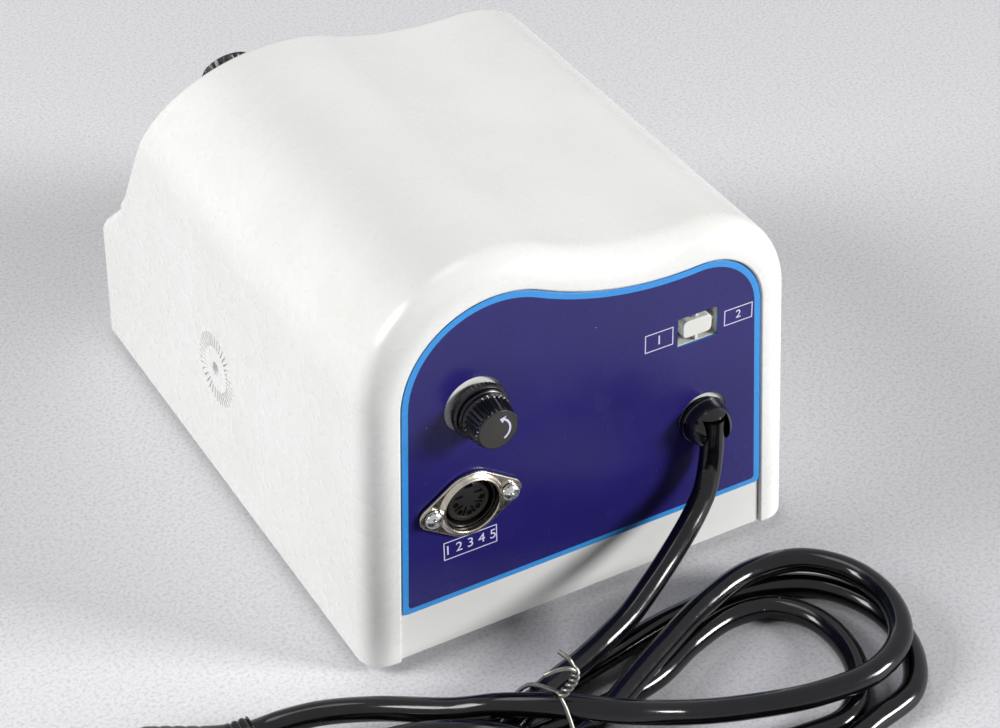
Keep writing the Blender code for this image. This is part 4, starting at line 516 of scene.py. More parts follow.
@dataclass(frozen=True)
class BoardLaminate(Finish):
    """Glass-epoxy board under green mask, with copper tracks beneath it."""

    def dress(
        self, tree: bpy.types.NodeTree, shader: bpy.types.Node, place: bpy.types.NodeSocket
    ) -> None:
        """Tracks as lighter lines under the mask."""
        tracks = add_node(
            tree,
            "ShaderNodeTexBrick",
            {"Scale": 1 / (6.0 * MM), "Mortar Size": 0.08, "Brick Width": 0.9, "Row Height": 0.5},
            {"Vector": place},
        ).outputs[1]
        self.tint(tree, shader, tracks, "#3f8f52")
        self.gloss(tree, shader, self.waves(tree, place, 2.0), 0.06)
        self.relief(tree, shader, tracks, 0.03)


@dataclass(frozen=True)
class ClearLens(Finish):
    """Red acrylic lens: clear, with light caught inside."""

    def dress(
        self, tree: bpy.types.NodeTree, shader: bpy.types.Node, place: bpy.types.NodeSocket
    ) -> None:
        """A tinted body that lets half the light through."""
        shader.inputs["IOR"].default_value = 1.49
        shader.inputs["Transmission Weight"].default_value = 0.45
        self.tint(tree, shader, self.band(tree, self.waves(tree, place, 1.5), 0.4, 0.7, 0.6), "#e8443a")
        self.relief(tree, shader, self.waves(tree, place, 0.6), 0.01)


@dataclass(frozen=True)
class ClearGlass(Finish):
    """Drawn glass tube of the fuse."""

    def dress(
        self, tree: bpy.types.NodeTree, shader: bpy.types.Node, place: bpy.types.NodeSocket
    ) -> None:
        """Clear, with faint draw lines."""
        shader.inputs["IOR"].default_value = 1.5
        shader.inputs["Transmission Weight"].default_value = 0.95
        self.relief(tree, shader, self.waves(tree, place, 1.0, (1, 0.1, 1)), 0.004)


@dataclass(frozen=True)
class TableTop(Finish):
    """The pale table: a fine, slightly speckled sheet."""

    def dress(
        self, tree: bpy.types.NodeTree, shader: bpy.types.Node, place: bpy.types.NodeSocket
    ) -> None:
        """A fine speckle in tone and height."""
        speckle = self.waves(tree, place, 1.1, detail=3.0)
        self.tint(tree, shader, self.band(tree, speckle, 0.45, 0.70, 0.60), "#b8b6bb")
        self.tint(tree, shader, self.band(tree, self.waves(tree, place, 0.8), 0.55, 0.72, 0.5), "#efeef0")
        self.relief(tree, shader, speckle, 0.04)


# Glossy ABS: slightly warm white that takes soft, broad highlights.
ABS_WHITE = MouldedPlastic(
    "abs_moulded_white", "#ececea", 0.28, shade="#e6e6e2", depth_mm=0.003,
    dust_rarity=1.0,
)
ABS_PLATE = MouldedPlastic(
    "abs_plate_white", "#e4e4e1", 0.36, shade="#dbdbd7", grain_mm=0.6, depth_mm=0.006,
    dust="#a8a49c", dust_rarity=0.7,
)
# Screen inks: a deep violet field, a light blue border and white lettering.
INK_VIOLET = PrintedFilm("film_ink_violet", "#25206a", 0.24, shade="#211c62")
INK_BLUE = PrintedFilm("film_ink_blue", "#3a94de", 0.26, shade="#368ed8")
INK_WHITE = PrintedFilm("film_ink_white", "#dcd8ee", 0.45, shade="#cfcae6")
# Black polyamide and PBT: satin to glossy, with scuffs and dust in the ribs.
BLACK_RIBBED = MouldedPlastic(
    "polyamide_black_moulded", "#0f0f10", 0.28, shade="#1f1e1d", spread=0.1, depth_mm=0.006,
    dust="#8f8b84", dust_spacing_mm=2.2, dust_size_mm=0.22, dust_rarity=0.62,
)
BLACK_GLOSSY = MouldedPlastic(
    "nylon_black_glossy", "#09090a", 0.15, shade="#121214", spread=0.06, depth_mm=0.012,
    grain_mm=2.4, dust="#9a9790", dust_spacing_mm=3.5, dust_size_mm=0.3, dust_rarity=0.66,
)
BLACK_MATT = MouldedPlastic(
    "phenolic_black_matt", "#0c0c0d", 0.42, shade="#1f1e1d", spread=0.08, depth_mm=0.01,
    dust="#7d7972", dust_spacing_mm=1.6, dust_size_mm=0.16, dust_rarity=0.6,
)
CAP_FACE = MouldedPlastic(
    "polyamide_black_worn", "#2b2a28", 0.46, shade="#4d4a45", spread=0.1, depth_mm=0.012,
    grain_mm=0.5, dust="#a39f97", dust_spacing_mm=1.1, dust_size_mm=0.16, dust_rarity=0.6,
)
ROCKER_BLACK = MouldedPlastic(
    "nylon_rocker_black", "#121213", 0.22, shade="#1d1d1e", spread=0.05, depth_mm=0.004,
    dust="#77746e", dust_spacing_mm=5.0, dust_size_mm=0.2,
)
IVORY_ABS = MouldedPlastic(
    "abs_ivory_slider", "#dedfd9", 0.40, shade="#d2d2c9", grain_mm=0.5, depth_mm=0.006,
    dust="#8f8b80", dust_spacing_mm=3.0, dust_size_mm=0.15,
)
NYLON_WHITE = MouldedPlastic("nylon_natural", "#e0ddd2", 0.42, shade="#d3cfc2", depth_mm=0.01)
SLEEVE_BLUE = MouldedPlastic("pvc_shrink_sleeve", "#262c58", 0.30, shade="#1d224a", depth_mm=0.02)
# Nickel plate is warm and soft; zinc plate on the screws is colder and brighter.
NICKEL = PlatedMetal("nickel_plate_warm", "#cfc6b8", 0.22, stain="#8a7f70", stains=0.45)
NICKEL_PIN = PlatedMetal("nickel_plate_pin", "#d4cfc6", 0.18, stain="#8a857c", stains=0.2)
ZINC = PlatedMetal("zinc_plate_bright", "#d9dbd8", 0.20, stain="#7d7f7c", marks=(3.0, 3.0, 3.0),
                   marks_mm=0.8, marks_depth_mm=0.006)
BRASS = PlatedMetal("brass_contact", "#c9a75c", 0.25, stain="#6b5124")
ALUMINIUM = PlatedMetal("aluminium_extruded", "#c4c6c8", 0.38, stain="#9a9b9c", marks=(1, 1, 0.1))
TIE_STEEL = PlatedMetal("steel_wire_annealed", "#83817c", 0.34, stain="#4b4843", marks=(1, 1, 1),
                        marks_mm=0.7, marks_depth_mm=0.01)
PVC_BLACK = PvcSheath("pvc_cord_black", "#08080a", 0.13)
RUBBER = SoftRubber("rubber_foot_black", "#1c1b1b", 0.78)
POWDER_GREY = PowderCoat("steel_powder_grey", "#bfc1c1", 0.45)
CORE = Laminations("steel_laminations", "#5f5b55", 0.5)
TAPE = CoilTape("polyester_tape_yellow", "#c99a2e", 0.35)
BOARD = BoardLaminate("board_mask_green", "#1d5a33", 0.4)
LENS = ClearLens("acrylic_lens_red", "#a8130f", 0.1)
GLASS = ClearGlass("glass_fuse_tube", "#eef4f2", 0.05)
TABLE_TOP = TableTop("table_pale_grey", "#dddcdf", 0.7)


def settle(piece: bpy.types.Object, body: Body, slot: Slot | None = None, *nodes: str) -> None:
    """Ties a finished piece to the part.

    Args:
        piece: The piece, in its place.
        body: The body that it moves with.
        slot: The record's material slot; not used.
        *nodes: The CAD nodes that it stands for.
    """
    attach(piece, body.value)
    if nodes:
        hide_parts(*nodes)
    LOG.info("%s rides on %s", piece.name, body.value)


def shape(
    name: str, mesh: bmesh.types.BMesh, place: Matrix, finish: Finish, crease: float = 35.0
) -> bpy.types.Object:
    """Makes an object of a mesh, with flat faces kept flat.

    Args:
        name: The piece's name.
        mesh: The mesh, which is used up.
        place: Where it goes.
        finish: What it is made of.
        crease: Edges sharper than this many degrees stay sharp.

    Returns:
        The object, whose origin is the part's.
    """
    bmesh.ops.remove_doubles(mesh, verts=mesh.verts, dist=0.000001)
    bmesh.ops.recalc_face_normals(mesh, faces=mesh.faces)
    mesh.transform(place)
    data = bpy.data.meshes.new(name)
    mesh.to_mesh(data)
    mesh.free()
    data.materials.append(finish.material())
    data.shade_smooth()
    data.set_sharp_from_angle(angle=math.radians(crease))
    made = bpy.data.objects.new(name, data)
    bpy.context.scene.collection.objects.link(made)
    step = made.modifiers.new("flat_faces", "WEIGHTED_NORMAL")
    step.keep_sharp = True
    return made


def soften(piece: bpy.types.Object, width: float, steps: int = 3, angle: float = 35.0) -> None:
    """Rounds a piece's sharp edges, as a mould or a tumbler does.

    Args:
        piece: The piece.
        width: How far the round reaches.
        steps: Faces across it.
        angle: Edges sharper than this many degrees are rounded.
    """
    piece.modifiers.clear()
    step = piece.modifiers.new("rounded_edges", "BEVEL")
    step.width, step.segments = width, steps
    step.limit_method, step.angle_limit = "ANGLE", math.radians(angle)
    step.harden_normals = True


def as_mesh(source: bpy.types.Object, place: Matrix, finish: Finish) -> bpy.types.Object:
    """Turns a curve or text object to a mesh piece under the same name.

    Args:
        source: The curve or text object, which is used up.
        place: Where the piece goes.
        finish: What it is made of.

    Returns:
        The mesh object.
    """
    name = source.name
    graph = bpy.context.evaluated_depsgraph_get()
    data = bpy.data.meshes.new_from_object(source.evaluated_get(graph))
    bpy.data.objects.remove(source)
    mesh = bmesh.new()
    mesh.from_mesh(data)
    bpy.data.meshes.remove(data)
    return shape(name, mesh, place, finish)


def plate(
    name: str,
    outlines: Sequence[Sequence[Pair]],
    low: float,
    high: float,
    place: Matrix,
    finish: Finish,
    ease: float = 0.0,
) -> bpy.types.Object:
    """A flat piece with holes and rounded edges.

    Args:
        name: The piece's name.
        outlines: Its outline and its holes.
        low: Height of its back.
        high: Height of its face.
        place: The face that it lies on.
        finish: What it is made of.
        ease: Radius of its edges.

    Returns:
        The mesh object.
    """
    data = bpy.data.curves.new(name, "CURVE")
    data.dimensions, data.fill_mode = "2D", "BOTH"
    data.extrude = (high - low) / 2 - ease
    data.bevel_depth, data.bevel_resolution, data.offset = ease, 2, -ease
    for outline in outlines:
        spline = data.splines.new("POLY")
        spline.points.add(len(outline) - 1)
        for spot, (x, y) in zip(spline.points, outline):
            spot.co = (x, y, 0.0, 1.0)
        spline.use_cyclic_u = True
    made = bpy.data.objects.new(name, data)
    bpy.context.scene.collection.objects.link(made)
    return as_mesh(made, place @ Matrix.Translation((0, 0, (low + high) / 2)), finish)


def lettering(name: str, words: str, size: float, centre: Pair, rise: float, place: Matrix) -> bpy.types.Object:
    """Plain printed figures, a thin layer of white ink.

    Args:
        name: The piece's name.
        words: The figures.
        size: Height of the letters' body.
        centre: Where their middle lies.
        rise: Height of the ink above the face.
        place: The face that they lie on.

    Returns:
        The mesh object.
    """
    data = bpy.data.curves.new(name, "FONT")
    data.body, data.size = words, size
    data.align_x, data.align_y = "CENTER", "CENTER"
    data.extrude = 0.00001
    made = bpy.data.objects.new(name, data)
    bpy.context.scene.collection.objects.link(made)
    return as_mesh(made, place @ Matrix.Translation((*centre, rise)), INK_WHITE)


def turned(profile: Sequence[Pair], sides: int = 64, mesh: bmesh.types.BMesh | None = None, place: Triple = (0, 0, 0)) -> bmesh.types.BMesh:
    """A profile spun about Z.

    Args:
        profile: (radius, height) points, from axis to axis or all round.
        sides: Faces round it.
        mesh: A mesh to add it to.
        place: Where its axis stands.

    Returns:
        The mesh.
    """
    mesh = mesh or bmesh.new()
    centre = Vector(place)
    verts = [mesh.verts.new(centre + Vector((radius, 0, height))) for radius, height in profile]
    edges = [mesh.edges.new(pair) for pair in zip(verts, verts[1:])]
    if profile[0][0] or profile[-1][0]:
        edges.append(mesh.edges.new((verts[-1], verts[0])))
    bmesh.ops.spin(mesh, geom=verts + edges, cent=centre, axis=(0, 0, 1), angle=2 * math.pi,
                   steps=sides, use_merge=True)
    bmesh.ops.remove_doubles(mesh, verts=mesh.verts, dist=0.000001)
    return mesh


def lofted(rings: Sequence[Sequence[Triple]], mesh: bmesh.types.BMesh | None = None) -> bmesh.types.BMesh:
    """Faces between closed rings of equal counts, with capped ends.

    Args:
        rings: The rings, from one end to the other.
        mesh: A mesh to add them to.

    Returns:
        The mesh.
    """
    mesh = mesh or bmesh.new()
    rows = [[mesh.verts.new(point) for point in ring] for ring in rings]
    count = len(rows[0])
    for one, other in zip(rows, rows[1:]):
        for i in range(count):
            j = (i + 1) % count
            mesh.faces.new((one[i], one[j], other[j], other[i]))
    mesh.faces.new(rows[0])
    mesh.faces.new(rows[-1])
    return mesh


def eased(points: Sequence[Pair], reach: float, closed: bool = False, steps: int = 3) -> list[Pair]:
    """Rounds the corners of a profile or an outline.

    Args:
        points: The corners.
        reach: How far a round goes along each side.
        closed: Whether the line runs back to its start.
        steps: Parts of each round.

    Returns:
        The rounded line.
    """
    made: list[Pair] = []
    last = len(points) - 1
    for i, point in enumerate(points):
        if not closed and i in (0, last):
            made.append(point)
            continue
        spot = Vector(point)
        back, on = Vector(points[i - 1]) - spot, Vector(points[(i + 1) % (last + 1)]) - spot
        start = spot + back.normalized() * min(reach, back.length * 0.48)
        end = spot + on.normalized() * min(reach, on.length * 0.48)
        for k in range(steps + 1):
            t = k / steps
            p = start * (1 - t) ** 2 + spot * (2 * t * (1 - t)) + end * t**2
            made.append((p.x, p.y))
    return made


def circle(radius: float, centre: Pair = (0.0, 0.0), steps: int = 64) -> list[Pair]:
    """A circle's outline.

    Args:
        radius: Its radius.
        centre: Its middle.
        steps: Points round it.

    Returns:
        The points.
    """
    turn = 2 * math.pi / steps
    return [
        (centre[0] + radius * math.cos(i * turn), centre[1] + radius * math.sin(i * turn))
        for i in range(steps)
    ]


def rectangle(width: float, height: float, centre: Pair = (0.0, 0.0), corner: float = 0.0) -> list[Pair]:
    """A rectangle's outline, with round corners if wanted.

    Args:
        width: Its width.
        height: Its height.
        centre: Its middle.
        corner: Radius of its corners.

    Returns:
        The points.
    """
    x, y = centre
    w, h = width / 2, height / 2
    points = [(x + w, y + h), (x - w, y + h), (x - w, y - h), (x + w, y - h)]
    return eased(points, corner, True, 4) if corner else points


def block(name: str, width: float, length: float, low: float, high: float, place: Matrix, finish: Finish, centre: Pair = (0.0, 0.0)) -> bpy.types.Object:
    """A box that stands from one height to another, used for cuts.

    Args:
        name: The piece's name.
        width: Its size along X.
        length: Its size along Y.
        low: Height of its bottom.
        high: Height of its top.
        place: The face that it stands on.
        finish: What it is made of.
        centre: Its middle.

    Returns:
        The object.
    """
    rings = [[(x, y, z) for x, y in rectangle(width, length, centre)] for z in (low, high)]
    return shape(name, lofted(rings), place, finish)


def carve(piece: bpy.types.Object, *tools: bpy.types.Object) -> None:
    """Cuts tools out of a piece and removes them.

    Args:
        piece: The piece.
        *tools: What is cut out.
    """
    kept = [(m.type) for m in piece.modifiers]
    piece.modifiers.clear()
    for tool in tools:
        tool.modifiers.clear()
        step = piece.modifiers.new(tool.name, "BOOLEAN")
        step.operation, step.solver, step.object = "DIFFERENCE", "EXACT", tool
    graph = bpy.context.evaluated_depsgraph_get()
    data = bpy.data.meshes.new_from_object(piece.evaluated_get(graph))
    piece.modifiers.clear()
    piece.data = data
    data.shade_smooth()
    data.set_sharp_from_angle(angle=math.radians(35))
    for tool in tools:
        bpy.data.objects.remove(tool)
    if kept:
        piece.modifiers.new("flat_faces", "WEIGHTED_NORMAL").keep_sharp = True


def ribbed(rings: Sequence[Triple], ribs: int, depth: float, steps: int = 8) -> bmesh.types.BMesh:
    """A turned shape with narrow ridges along it.

    Args:
        rings: (radius, height, how deep the grooves are there from 0 to 1).
        ribs: Grooves round it.
        depth: Depth of a groove.
        steps: Points to a rib.

    Returns:
        The mesh.
    """
    count = ribs * steps
    made = []
    for radius, height, share in rings:
        ring = []
        for i in range(count):
            angle = 2 * math.pi * i / count
            ridge = max(math.cos(ribs * angle), 0.0) ** 1.6
            reach = radius - depth * share * (1 - ridge)
            ring.append((reach * math.cos(angle), reach * math.sin(angle), height))
        made.append(ring)
    return lofted(made)


def smooth_line(points: Sequence[Vector], steps: int) -> list[Vector]:
    """A finely stepped smooth line through points (centripetal spline).

    Args:
        points: What it passes.
        steps: Parts between two points.

    Returns:
        The fine line.
    """
    ends = [2 * points[0] - points[1], *points, 2 * points[-1] - points[-2]]
    fine = []
    for p0, p1, p2, p3 in zip(ends, ends[1:], ends[2:], ends[3:]):
        t1 = math.sqrt((p1 - p0).length)
        t2 = t1 + math.sqrt((p2 - p1).length)
        t3 = t2 + math.sqrt((p3 - p2).length)
        for i in range(steps):
            t = t1 + (t2 - t1) * i / steps
            a1, a2 = p0.lerp(p1, t / t1), p1.lerp(p2, (t - t1) / (t2 - t1))
            a3 = p2.lerp(p3, (t - t2) / (t3 - t2))
            b1, b2 = a1.lerp(a2, t / t2), a2.lerp(a3, (t - t1) / (t3 - t1))
            fine.append(b1.lerp(b2, (t - t1) / (t2 - t1)))
    return [*fine, points[-1]]


def strand(name: str, points: Sequence[Vector], radius: float, place: Matrix, finish: Finish, roundness: int = 6) -> bpy.types.Object:
    """A round wire or cord along a line.

    Args:
        name: The piece's name.
        points: The line.
        radius: The strand's radius.
        place: The axes that the line is given in.
        finish: What it is made of.
        roundness: How fine its section is.

    Returns:
        The curve object.
    """
    data = bpy.data.curves.new(name, "CURVE")
    data.dimensions = "3D"
    data.bevel_depth, data.bevel_resolution, data.use_fill_caps = radius, roundness, True
    spline = data.splines.new("POLY")
    spline.points.add(len(points) - 1)
    for spot, point in zip(spline.points, points):
        spot.co = (*(place @ point), 1.0)
    spline.use_smooth = True
    data.materials.append(finish.material())
    made = bpy.data.objects.new(name, data)
    bpy.context.scene.collection.objects.link(made)
    return made


@dataclass
class Viewpoint:
    """The camera, solved from the photograph together with the box."""

    azimuth: float = math.radians(151.86)
    elevation: float = math.radians(36.77)
    roll: float = math.radians(-1.41)
    offset: Triple = (-0.02327, 0.06064, 0.6904)
    focal: float = 92.1
    sensor: float = 36.0

    def build(self) -> None:
        """Makes the camera and gives it to the scene."""
        a, e = self.azimuth, self.elevation
        back = Vector((math.sin(a) * math.cos(e), -math.cos(a) * math.cos(e), math.sin(e)))
        right = Vector((math.cos(a), math.sin(a), 0.0))
        up = back.cross(right)
        c, s = math.cos(self.roll), math.sin(self.roll)
        rows = Matrix((c * right + s * up, -s * right + c * up, back))
        centre = rows.transposed() @ Vector(self.offset) + Vector((0, LABEL_LINE, FOOT_RISE))
        data = bpy.data.cameras.new("viewpoint")
        data.lens, data.sensor_width, data.sensor_fit = self.focal, self.sensor, "HORIZONTAL"
        data.clip_start, data.clip_end = 0.01, 50.0
        made = bpy.data.objects.new("viewpoint", data)
        made.matrix_world = Matrix.Translation(centre) @ rows.transposed().to_4x4()
        bpy.context.scene.collection.objects.link(made)
        bpy.context.scene.camera = made
        LOG.info("camera at %s", tuple(round(x, 3) for x in centre))


@dataclass
class HalfLoop:
    """One half of a hank's loop, from the waist round its far end."""

    start: Pair
    tip: Pair
    half_width: float
    pinch: float
    bow: float
    rise: Pair
    climb: Pair
    ends: Pair
    count: int = 8

    def points(self) -> list[Vector]:
        """The half loop's points.

        Returns:
            Points of a drop-shaped line whose height changes on the way.
        """
        start, tip = Vector(self.start), Vector(self.tip)
        along = tip - start
        across = Vector((-along.y, along.x)).normalized()
        made = []
        for i in range(self.count):
            span = 2 * math.pi - self.ends[1] - self.ends[0]
            angle = self.ends[0] + span * i / (self.count - 1)
            side = self.half_width * math.sin(angle) * (1 - self.pinch * math.cos(angle))
            side += self.bow * math.sin(angle) ** 2
            part = (angle - self.climb[0]) / (self.climb[1] - self.climb[0])
            part = min(max(part, 0.0), 1.0)
            height = self.rise[0] + (self.rise[1] - self.rise[0]) * part * part * (3 - 2 * part)
            spot = start + along * math.sin(angle / 2) ** 2 + across * side
            made.append(Vector((spot.x, spot.y, height)))
        return made


@dataclass
class MainsCord:
    """The mains lead, its hank, the plug on its end and the wire tie."""

    diameter: float = 0.0065
    length: float = 1.456
    low: float = 0.0033
    middle: float = 0.0105
    waist: float = 0.0380
    lead: tuple[Triple, ...] = (
        (-0.0354, 0.0053, 0.0512), (-0.0354, 0.0053, 0.0465), (-0.0353, 0.0055, 0.0420),
        (-0.0343, 0.0062, 0.0350), (-0.0319, 0.0080, 0.0300), (-0.0285, 0.0100, 0.0269),
        (-0.0239, 0.0125, 0.0240), (-0.0164, 0.0160, 0.0198), (-0.0079, 0.0200, 0.0162),
        (0.0015, 0.0240, 0.0126), (0.0103, 0.0272, 0.0110), (0.0199, 0.0313, 0.0112),
        (0.0290, 0.0353, 0.0125),
    )
    end: tuple[Triple, ...] = (
        (0.0500, 0.0431, 0.0203), (0.0590, 0.0352, 0.0165), (0.0739, 0.0198, 0.0112),
        (0.0856, 0.0124, 0.0091), (0.0945, 0.0089, 0.0073), (0.0980, 0.0083, 0.0068),
        (0.1020, 0.0082, 0.0068),
    )
    wire: float = 0.0006
    twist_radius: float = 0.00066
    twist_pitch: float = 0.0042
    twist_length: float = 0.0115
    plug_length: float = 0.0290
    plug_start: Triple = (0.1023, 0.0082, 0.0068)
    pin_spread: float = 0.0095
    pin_length: float = 0.0190
    pin_radius: float = 0.0020

    def route(self) -> list[Vector]:
        """The cord's points from the gland to the plug.

        Returns:
            The lead, then three loops of the hank and the end.
        """
        low, middle, flat = self.low, self.middle, (3.0, 4.0)
        level = (low, low)
        loops = (
            HalfLoop((0.0440, 0.0470), (0.1270, 0.0540), 0.0250, 0.25, 0.0, (middle, low + FIT), (3.2, 5.2), (1.3, 1.0)),
            HalfLoop((0.0600, 0.0291), (-0.0619, 0.0605), 0.0191, 1.4, 0.0034, level, flat, (1.3, 2.35)),
            HalfLoop((0.0440, 0.0545), (0.1170, 0.0585), 0.0216, 0.25, 0.0, level, flat, (1.15, 1.0)),
            HalfLoop((0.0300, 0.0532), (-0.0473, 0.0472), 0.0210, 0.60, -0.0055, level, flat, (1.32, 2.15)),
            HalfLoop((0.0440, 0.0505), (0.1052, 0.0515), 0.0164, 0.40, 0.0, (low, middle + low), (2.6, 4.4), (1.3, 1.5)),
            HalfLoop((0.0300, 0.0522), (-0.0625, 0.0451), 0.0195, 0.86, -0.0008, (middle, middle), flat, (0.85, 1.35), 11),
        )
        x = self.waist
        between = (
            ((x, 0.0398, 0.0137), (0.0490, 0.0448, 0.0118), (0.0585, 0.0530, middle)),
            ((x, 0.0332, 0.0059), (0.0243, 0.0290, 0.0038)),
            ((-0.0240, 0.0838, low), (-0.0080, 0.0840, low), (0.0080, 0.0787, low),
             (0.0240, 0.0686, 0.0040), (x, 0.0612, 0.0059), (0.0490, 0.0632, 0.0041)),
            ((x, 0.0445, 0.0059), (0.0200, 0.0420, 0.0037)),
            ((-0.0200, 0.0759, low), (-0.0060, 0.0732, low), (0.0080, 0.0680, low),
             (0.0230, 0.0595, 0.0040), (x, 0.0524, 0.0059), (0.0490, 0.0540, 0.0042)),
            ((0.0640, 0.0415, 0.0167), (0.0555, 0.0495, 0.0187), (0.0465, 0.0553, 0.0166),
             (x, 0.0570, 0.0134), (0.0270, 0.0522, 0.0112)),
        )
        points = [Vector(p) for p in self.lead]
        for joining, loop in zip(between, loops):
            points += [Vector(p) for p in joining] + loop.points()
        points += [Vector((0.0063, 0.0622, 0.0127)), Vector((0.0230, 0.0590, 0.0184))]
        return points + [Vector((0.0369, 0.0517, 0.0210))] + [Vector(p) for p in self.end]

    def build_plug(self) -> list[bpy.types.Object]:
        """The moulded plug: a ringed neck, a flared grip and two sleeved pins.

        Returns:
            The plug's pieces.
        """
        neck, neck_length, flare = 0.0042, 0.0060, 0.0180
        rings, count, steps = [], 48, 70
        for k in range(steps + 1):
            x = self.plug_length * k / steps
            share = min(max((x - neck_length) / flare, 0.0), 1.0)
            swell = share * share * (3 - 2 * share)
            width = neck + (0.0135 - neck) * share
            height = neck + (0.0064 - neck) * swell
            if x < neck_length:
                groove = 0.0005 * max(math.sin(2 * math.pi * x / 0.0020), 0.0)
                width, height = width - groove, height - groove
            elif x > 0.0110:
                rib = 0.0004 * max(math.sin(2 * math.pi * (x - 0.0110) / 0.0030), 0.0) * (x < 0.0230)
                width -= rib
            end = max(x - (self.plug_length - 0.0015), 0.0) / 0.0015
            tuck = 0.0015 * (1 - math.sqrt(max(1 - end * end, 0.0)))
            ring = []
            for i in range(count):
                angle = 2 * math.pi * i / count
                c, s = math.cos(angle), math.sin(angle)
                ring.append((x, (width - tuck) * math.copysign(abs(c) ** 0.7, c),
                             (height - tuck) * math.copysign(abs(s) ** 0.7, s)))
            rings.append(ring)
        place = TABLE @ Matrix.Translation(self.plug_start)
        body = shape("mains_plug_body", lofted(rings), place, PVC_BLACK, 50)
        settle(body, Body.BOX, Slot.CORD, "plug_body")
        made = [body]
        for name, way in (("left", 1), ("right", -1)):
            root = (self.plug_length - 0.0060, way * self.pin_spread, 0)
            pin_place = place @ Matrix.Translation(root) @ Matrix.Rotation(math.pi / 2, 4, "Y")
            radius, end = self.pin_radius, 0.0060 + self.pin_length
            profile = eased([(0, 0), (radius, 0), (radius, end - 0.0012), (radius * 0.5, end), (0, end)], 0.0008)
            pin = shape(f"mains_plug_pin_{name}", turned(profile, 32), pin_place, NICKEL_PIN)
            settle(pin, Body.BOX, Slot.NICKEL, f"plug_pin_{name}")
            sleeve = [(radius + 0.00002, 0.0050), (radius + 0.00012, 0.0050), (radius + 0.00012, 0.0150),
                      (radius + 0.00002, 0.0150)]
            cover = shape(f"mains_plug_sleeve_{name}", turned(sleeve, 32), pin_place, BLACK_GLOSSY)
            settle(cover, Body.BOX, Slot.BLACK)
            made += [pin, cover]
        return made

    def tie_line(self, fine: Sequence[Vector]) -> list[Vector]:
        """The tie's wire: drawn taut round the strands, then twisted.

        Args:
            fine: The cord's fine line, in the table's axes.

        Returns:
            The wire's points.
        """
        radius, spots = self.diameter / 2, []
        for point in fine:
            off = point.x - self.waist
            if abs(off) < radius and point.y > 0.025:
                section = math.sqrt(radius**2 - off**2) + self.wire * 1.15
                spots += [(point.y + section * math.cos(a), point.z + section * math.sin(a))
                          for a in (2 * math.pi * i / 24 for i in range(24))]
        hull = [spots[i] for i in convex_hull_2d(spots)]
        low = self.wire * 1.3
        ring = [Vector((self.waist, y, max(z, low))) for y, z in hull]
        top = max(range(len(ring)), key=lambda i: ring[i].z + 0.35 * ring[i].y)
        ring = ring[top:] + ring[:top]
        spaced = [ring[0]]
        for point in ring[1:]:
            if (point - spaced[-1]).length > 0.0016:
                spaced.append(point)
        while len(spaced) > 3 and (spaced[-1] - ring[0]).length < 0.0016:
            spaced.pop()
        foot = ring[0] + Vector((0.0, 0.0004, 0.0012))
        way = Vector((-0.46, 0.30, 0.84)).normalized()
        side = way.cross(Vector((0, 1, 0))).normalized()
        other = way.cross(side)
        twists: list[list[Vector]] = [[], []]
        count = 26
        for i in range(count + 1):
            up = self.twist_length * i / count
            turn = 2 * math.pi * up / self.twist_pitch
            lean = Vector((0.0030, -0.0012, 0.0)) * (up / self.twist_length) ** 3
            for k, phase in enumerate((0.0, math.pi)):
                arm = side * math.cos(turn + phase) + other * math.sin(turn + phase)
                twists[k].append(foot + way * up + lean + arm * self.twist_radius)
        tips = (
            (Vector((0.0018, -0.0006, 0.0012)), Vector((0.0048, -0.0016, 0.0010)), Vector((0.0070, -0.0026, -0.0002))),
            (Vector((0.0006, -0.0012, 0.0018)), Vector((0.0018, -0.0040, 0.0026))),
        )
        ends = [[twists[k][-1] + tip for tip in tips[k]] for k in (0, 1)]
        line = ends[0][::-1] + twists[0][::-1] + spaced[1:] + twists[1] + ends[1]
        return smooth_line(line, 4)

    def build(self) -> None:
        fine = smooth_line(self.route(), 20)
        cord = strand("mains_cord", fine, self.diameter / 2, TABLE, PVC_BLACK, 6)
        settle(cord, Body.BOX, Slot.CORD, "mains_cord_lead", "mains_cord_hank")
        plug = self.build_plug()
        tie = strand("wire_tie", self.tie_line(fine), self.wire, TABLE, TIE_STEEL, 4)
        settle(tie, Body.BOX, Slot.TIE, "cord_tie")


